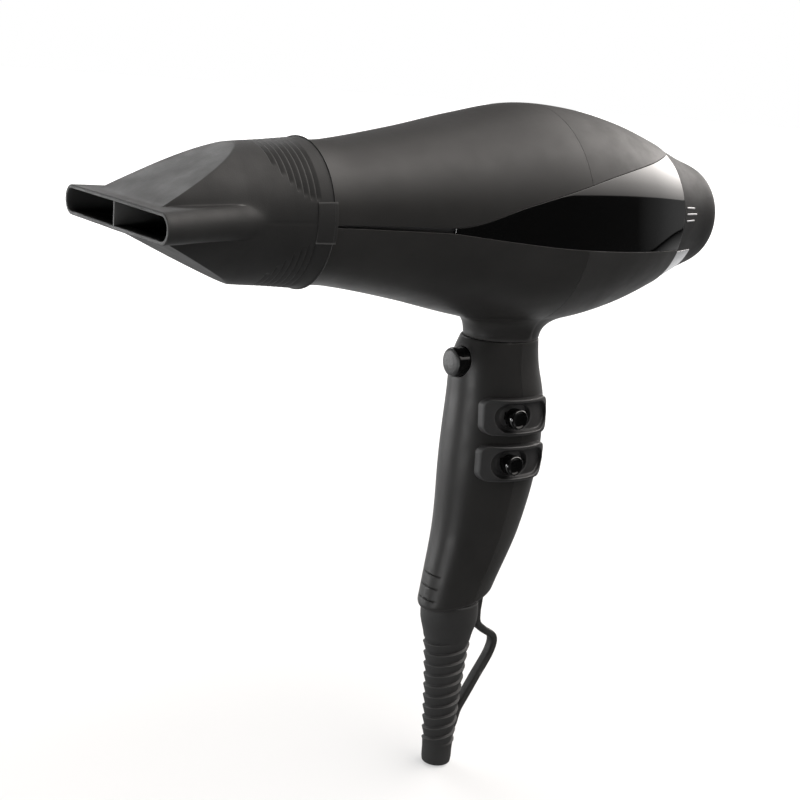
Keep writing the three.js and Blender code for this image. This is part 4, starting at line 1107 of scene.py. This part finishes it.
def smooth_path(knots, steps):
    """A smooth curve through all the knots, with this many points for each stretch."""
    padded = np.vstack([2 * knots[0] - knots[1], knots, 2 * knots[-1] - knots[-2]])
    path = []
    for a, b, c, d in zip(padded, padded[1:], padded[2:], padded[3:]):
        for t in np.linspace(0, 1, steps, endpoint=False):
            bend = (2 * a - 5 * b + 4 * c - d) * t**2 + (3 * b - a - 3 * c + d) * t**3
            path.append(0.5 * (2 * b + (c - a) * t + bend))
    return np.array([*path, knots[-1]])


def build_loop():
    """The rubber strap that hangs the dryer up. Its section is between an ellipse and a rectangle."""
    path = smooth_path(np.array(LOOP_PATH, float), 12)
    tangent = np.gradient(path, axis=0)
    tangent /= np.linalg.norm(tangent, axis=1, keepdims=True)
    side = np.stack([-tangent[:, 1], tangent[:, 0]], axis=1)
    share = np.linspace(0, 1, len(path))
    swell = 1 + 0.5 * smoothstep((share - 0.9) / 0.1)
    angles = np.linspace(0, 2 * np.pi, 32, endpoint=False)
    corner = 0.55  # towards 1 the section is an ellipse, towards 0 a rectangle
    across = np.sign(np.cos(angles)) * np.abs(np.cos(angles)) ** corner
    through = np.sign(np.sin(angles)) * np.abs(np.sin(angles)) ** corner
    rows = []
    for point, normal, scale in zip(path, side, swell):
        y = point[0] + normal[0] * STRAP_HALF_THICKNESS * scale * through
        z = point[1] + normal[1] * STRAP_HALF_THICKNESS * scale * through
        rows.append(np.stack([STRAP_HALF_WIDTH * scale * across, y, z], axis=1))
    loop = around("hanging_strap", np.array(rows), cap_ends=True, sharp=50)
    place(loop, "housing", "soft_rubber", rubber, "hanging_loop")


# ---------------------------------------------------------------- the inside

INSIDE_FINISHES = [
    (inner, ["filter_frame", "speed_switch", "heat_switch", "cool_shot_switch", "cord_clamp", "outlet_grille",
             "ion_generator", "fan_duct", "motor_mount", "impeller"]),
    (steel, ["filter_mesh", "clamp_screw_left", "clamp_screw_right", "heater_coil_front", "heater_coil_rear",
             "thermal_fuse", "ion_needle", "motor_can", "motor_shaft"]),
    (brass, ["thermostat", "motor_bush_front", "motor_bush_rear", "commutator"]),
    (mica, ["heater_sleeve", "heater_board_upright", "heater_board_flat"]),
    (ferrite, ["motor_magnet_right", "motor_magnet_left", "brush_lower", "brush_upper"]),
    (copper, ["armature"]),
    (board, ["control_board"]),
    (brown, ["live_lead"]),
    (blue, ["neutral_lead"]),
]
INSIDE_BEVEL = 0.1


def dress_inside():
    """Gives the CAD nodes inside their finishes and slightly rounded edges."""
    for material, nodes in INSIDE_FINISHES:
        for node in nodes:
            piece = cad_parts[node]
            for slot in piece.material_slots:
                slot.link = "OBJECT"
                slot.material = material
            rounding = piece.modifiers.new("soft_edges", "BEVEL")
            rounding.width, rounding.segments, rounding.limit_method = INSIDE_BEVEL * MM, 2, "ANGLE"


# ---------------------------------------------------------------- camera and studio


CAMERA_ANGLES = (53.678, 13.909, 4.556)  # azimuth, elevation and roll in degrees
CAMERA_TARGET, CAMERA_DISTANCE = (0, -0.044563, -0.07347), 0.56108
CAMERA_LENS, CAMERA_SENSOR = 64.56, 36
LAMP_TARGET = (0, -0.03, -0.03)


def build_camera():
    azimuth, elevation, roll = np.radians(CAMERA_ANGLES)
    level = np.cos(elevation)
    back = Vector((np.sin(azimuth) * level, -np.cos(azimuth) * level, np.sin(elevation)))
    sideways = (-back).cross(Vector((0, 0, 1))).normalized()
    upright = sideways.cross(-back)
    right = np.cos(roll) * sideways + np.sin(roll) * upright
    up = -np.sin(roll) * sideways + np.cos(roll) * upright
    camera = bpy.data.objects.new("camera", bpy.data.cameras.new("camera"))
    camera.data.lens, camera.data.sensor_width = CAMERA_LENS, CAMERA_SENSOR
    camera.data.clip_start = 0.01
    matrix = Matrix((right, up, back)).transposed().to_4x4()
    matrix.translation = Vector(CAMERA_TARGET) + back * CAMERA_DISTANCE
    camera.matrix_world = matrix
    bpy.context.scene.collection.objects.link(camera)
    bpy.context.scene.camera = camera


def softbox(name, towards, distance, size, power):
    """A rectangular lamp seen from the object in one direction, facing it."""
    light = bpy.data.lights.new(name, "AREA")
    light.shape = "RECTANGLE"
    light.size, light.size_y = size
    light.energy = power
    lamp = bpy.data.objects.new(name, light)
    direction = Vector(towards).normalized()
    lamp.location = Vector(LAMP_TARGET) + direction * distance
    lamp.rotation_euler = direction.to_track_quat("Z", "Y").to_euler()
    bpy.context.scene.collection.objects.link(lamp)


def lit_only(piece, camera=False, glossy=True, diffuse=True):
    """Makes a piece part of the stage, seen by these kinds of ray only."""
    piece.visible_camera, piece.visible_glossy, piece.visible_diffuse = camera, glossy, diffuse


def build_floor():
    """A large pale floor that brightens with distance, so that it has no visible end."""
    mesh = bpy.data.meshes.new("floor")
    work = bmesh.new()
    bmesh.ops.create_circle(work, cap_ends=True, segments=96, radius=8)
    work.to_mesh(mesh)
    work.free()
    floor = bpy.data.objects.new("floor", mesh)
    floor.location.z = (RELIEF_BOTTOM - FLOOR_GAP) * MM
    bpy.context.scene.collection.objects.link(floor)
    nodes = Nodes("pale_floor")
    reach = nodes.add("ShaderNodeVectorMath", operation="LENGTH")
    nodes.link(nodes.place, reach.inputs[0])
    glow = nodes.spread(reach.outputs["Value"], 0.5, 1.0, 0.25, 1.5)
    nodes.shader.inputs["Base Color"].default_value = (0.34, 0.34, 0.34, 1)
    nodes.shader.inputs["Roughness"].default_value = 0.9
    nodes.shader.inputs["Emission Color"].default_value = (1, 1, 1, 1)
    nodes.link(glow, nodes.shader.inputs["Emission Strength"])
    mesh.materials.append(nodes.material)
    lit_only(floor, camera=True, glossy=False)


def build_low_glow():
    """A pale sheet over the left of the floor and up behind it: it gives the undersides their soft rims."""
    level = RELIEF_BOTTOM + 0.5
    sheet = [(-2400, 400), (-2400, level), (-40, level), (150, level)]
    rows = [[(x, y, z) for x, z in sheet] for y in (-600, 3000)]
    faces = [(j, j + 1, len(sheet) + j + 1, len(sheet) + j) for j in range(len(sheet) - 1)]
    glow = finish_mesh("low_glow", np.array(rows, float).reshape(-1, 3), faces, weighted=False)
    nodes = Nodes("low_glow")
    split = nodes.add("ShaderNodeSeparateXYZ")
    nodes.link(nodes.place, split.inputs["Vector"])
    emission = nodes.add("ShaderNodeEmission")
    fading = nodes.spread(split.outputs["X"], LOW_GLOW, 0, -0.25, 0.13)
    nodes.link(fading, emission.inputs["Strength"])
    nodes.link(emission.outputs["Emission"], nodes.tree.nodes["Material Output"].inputs["Surface"])
    glow.data.materials.append(nodes.material)
    glow.visible_shadow = False
    lit_only(glow, diffuse=False)


def build_sky():
    """White where the camera sees it. Its light is a long bank beside the barrel with a sharp lower edge."""
    world = bpy.data.worlds.new("studio")
    bpy.context.scene.world = world
    world.use_nodes = True
    nodes, links = world.node_tree.nodes, world.node_tree.links
    background = nodes["Background"]

    def node(kind, *inputs, **settings):
        """Adds a node with these inputs, each a value or a socket."""
        made = nodes.new(kind)
        for key, value in settings.items():
            setattr(made, key, value)
        for socket, value in zip(made.inputs, inputs):
            if isinstance(value, (int, float)):
                socket.default_value = value
            else:
                links.new(value, socket)
        return made.outputs[0]

    direction = nodes.new("ShaderNodeSeparateXYZ")
    links.new(nodes.new("ShaderNodeTexCoord").outputs["Generated"], direction.inputs["Vector"])
    x, y, z = direction.outputs
    right = node("ShaderNodeMath", x, -SKY_AXIS[0], operation="ADD")
    above = node("ShaderNodeMath", z, -SKY_AXIS[1], operation="ADD")
    turn = node("ShaderNodeMath", above, right, operation="ARCTAN2")
    first, last = SKY_GLOW[0][0], SKY_GLOW[-1][0]
    share = node("ShaderNodeMapRange", turn, np.radians(first), np.radians(last), 0.0, 1.0)
    edge = node("ShaderNodeMapRange", turn, np.radians(first - 0.15), np.radians(first + 0.15), 0.0, 1.0)
    fade = node("ShaderNodeMapRange", y, -0.35, 0.15, 0.0, 1.0)
    rear = node("ShaderNodeMapRange", y, 0.9, 1.0, 0.0, SKY_REAR)
    ramp = nodes.new("ShaderNodeValToRGB")
    links.new(share, ramp.inputs["Fac"])
    stops = ramp.color_ramp.elements
    peak = max(glow for _, glow in SKY_GLOW)
    for degrees, _ in SKY_GLOW[1:-1]:
        stops.new((degrees - first) / (last - first))
    for stop, (_, glow) in zip(stops, SKY_GLOW):
        stop.color = (*(tint * glow / peak for tint in SKY_TINT), 1)
    shown = node("ShaderNodeMath", edge, fade, operation="MULTIPLY")
    lit = node("ShaderNodeMath", shown, peak, operation="MULTIPLY")
    bank = nodes.new("ShaderNodeVectorMath")
    bank.operation = "SCALE"
    links.new(ramp.outputs["Color"], bank.inputs["Vector"])
    links.new(lit, bank.inputs["Scale"])
    base = node("ShaderNodeMath", rear, SKY_BASE, operation="ADD")
    sky = node("ShaderNodeVectorMath", bank.outputs["Vector"], base, operation="ADD")
    path = nodes.new("ShaderNodeLightPath")
    choice = nodes.new("ShaderNodeMix")
    choice.data_type = "RGBA"
    links.new(path.outputs["Is Camera Ray"], choice.inputs["Factor"])
    links.new(sky, choice.inputs[6])
    choice.inputs[7].default_value = (1, 1, 1, 1)
    links.new(choice.outputs[2], background.inputs["Color"])


def build_studio():
    build_sky()
    bpy.context.scene.view_settings.view_transform = "Standard"

    build_floor()
    build_low_glow()
    softbox("front_fill", (0.107, -0.965, -0.2), 1.3, (0.5, 0.5), 12)
    softbox("left_fill", (-0.80, 0.0, 0.60), 1.2, (0.6, 0.6), 6)
    softbox("mouth_fill", (-0.782, -0.575, -0.14), 1.0, (0.6, 0.3), 6)


build_camera()
build_shells()
build_panels()
build_nozzle()
build_snap_ring()
build_cap()
build_grille()
build_strip()
build_marks()
build_handle()
build_screws()
for switch, (switch_y, switch_z) in SWITCHES.items():
    build_bezel(switch, switch_y, switch_z)
    build_knob(switch, switch_z)
build_button()
build_spring()
build_relief()
build_loop()
dress_inside()
build_studio()
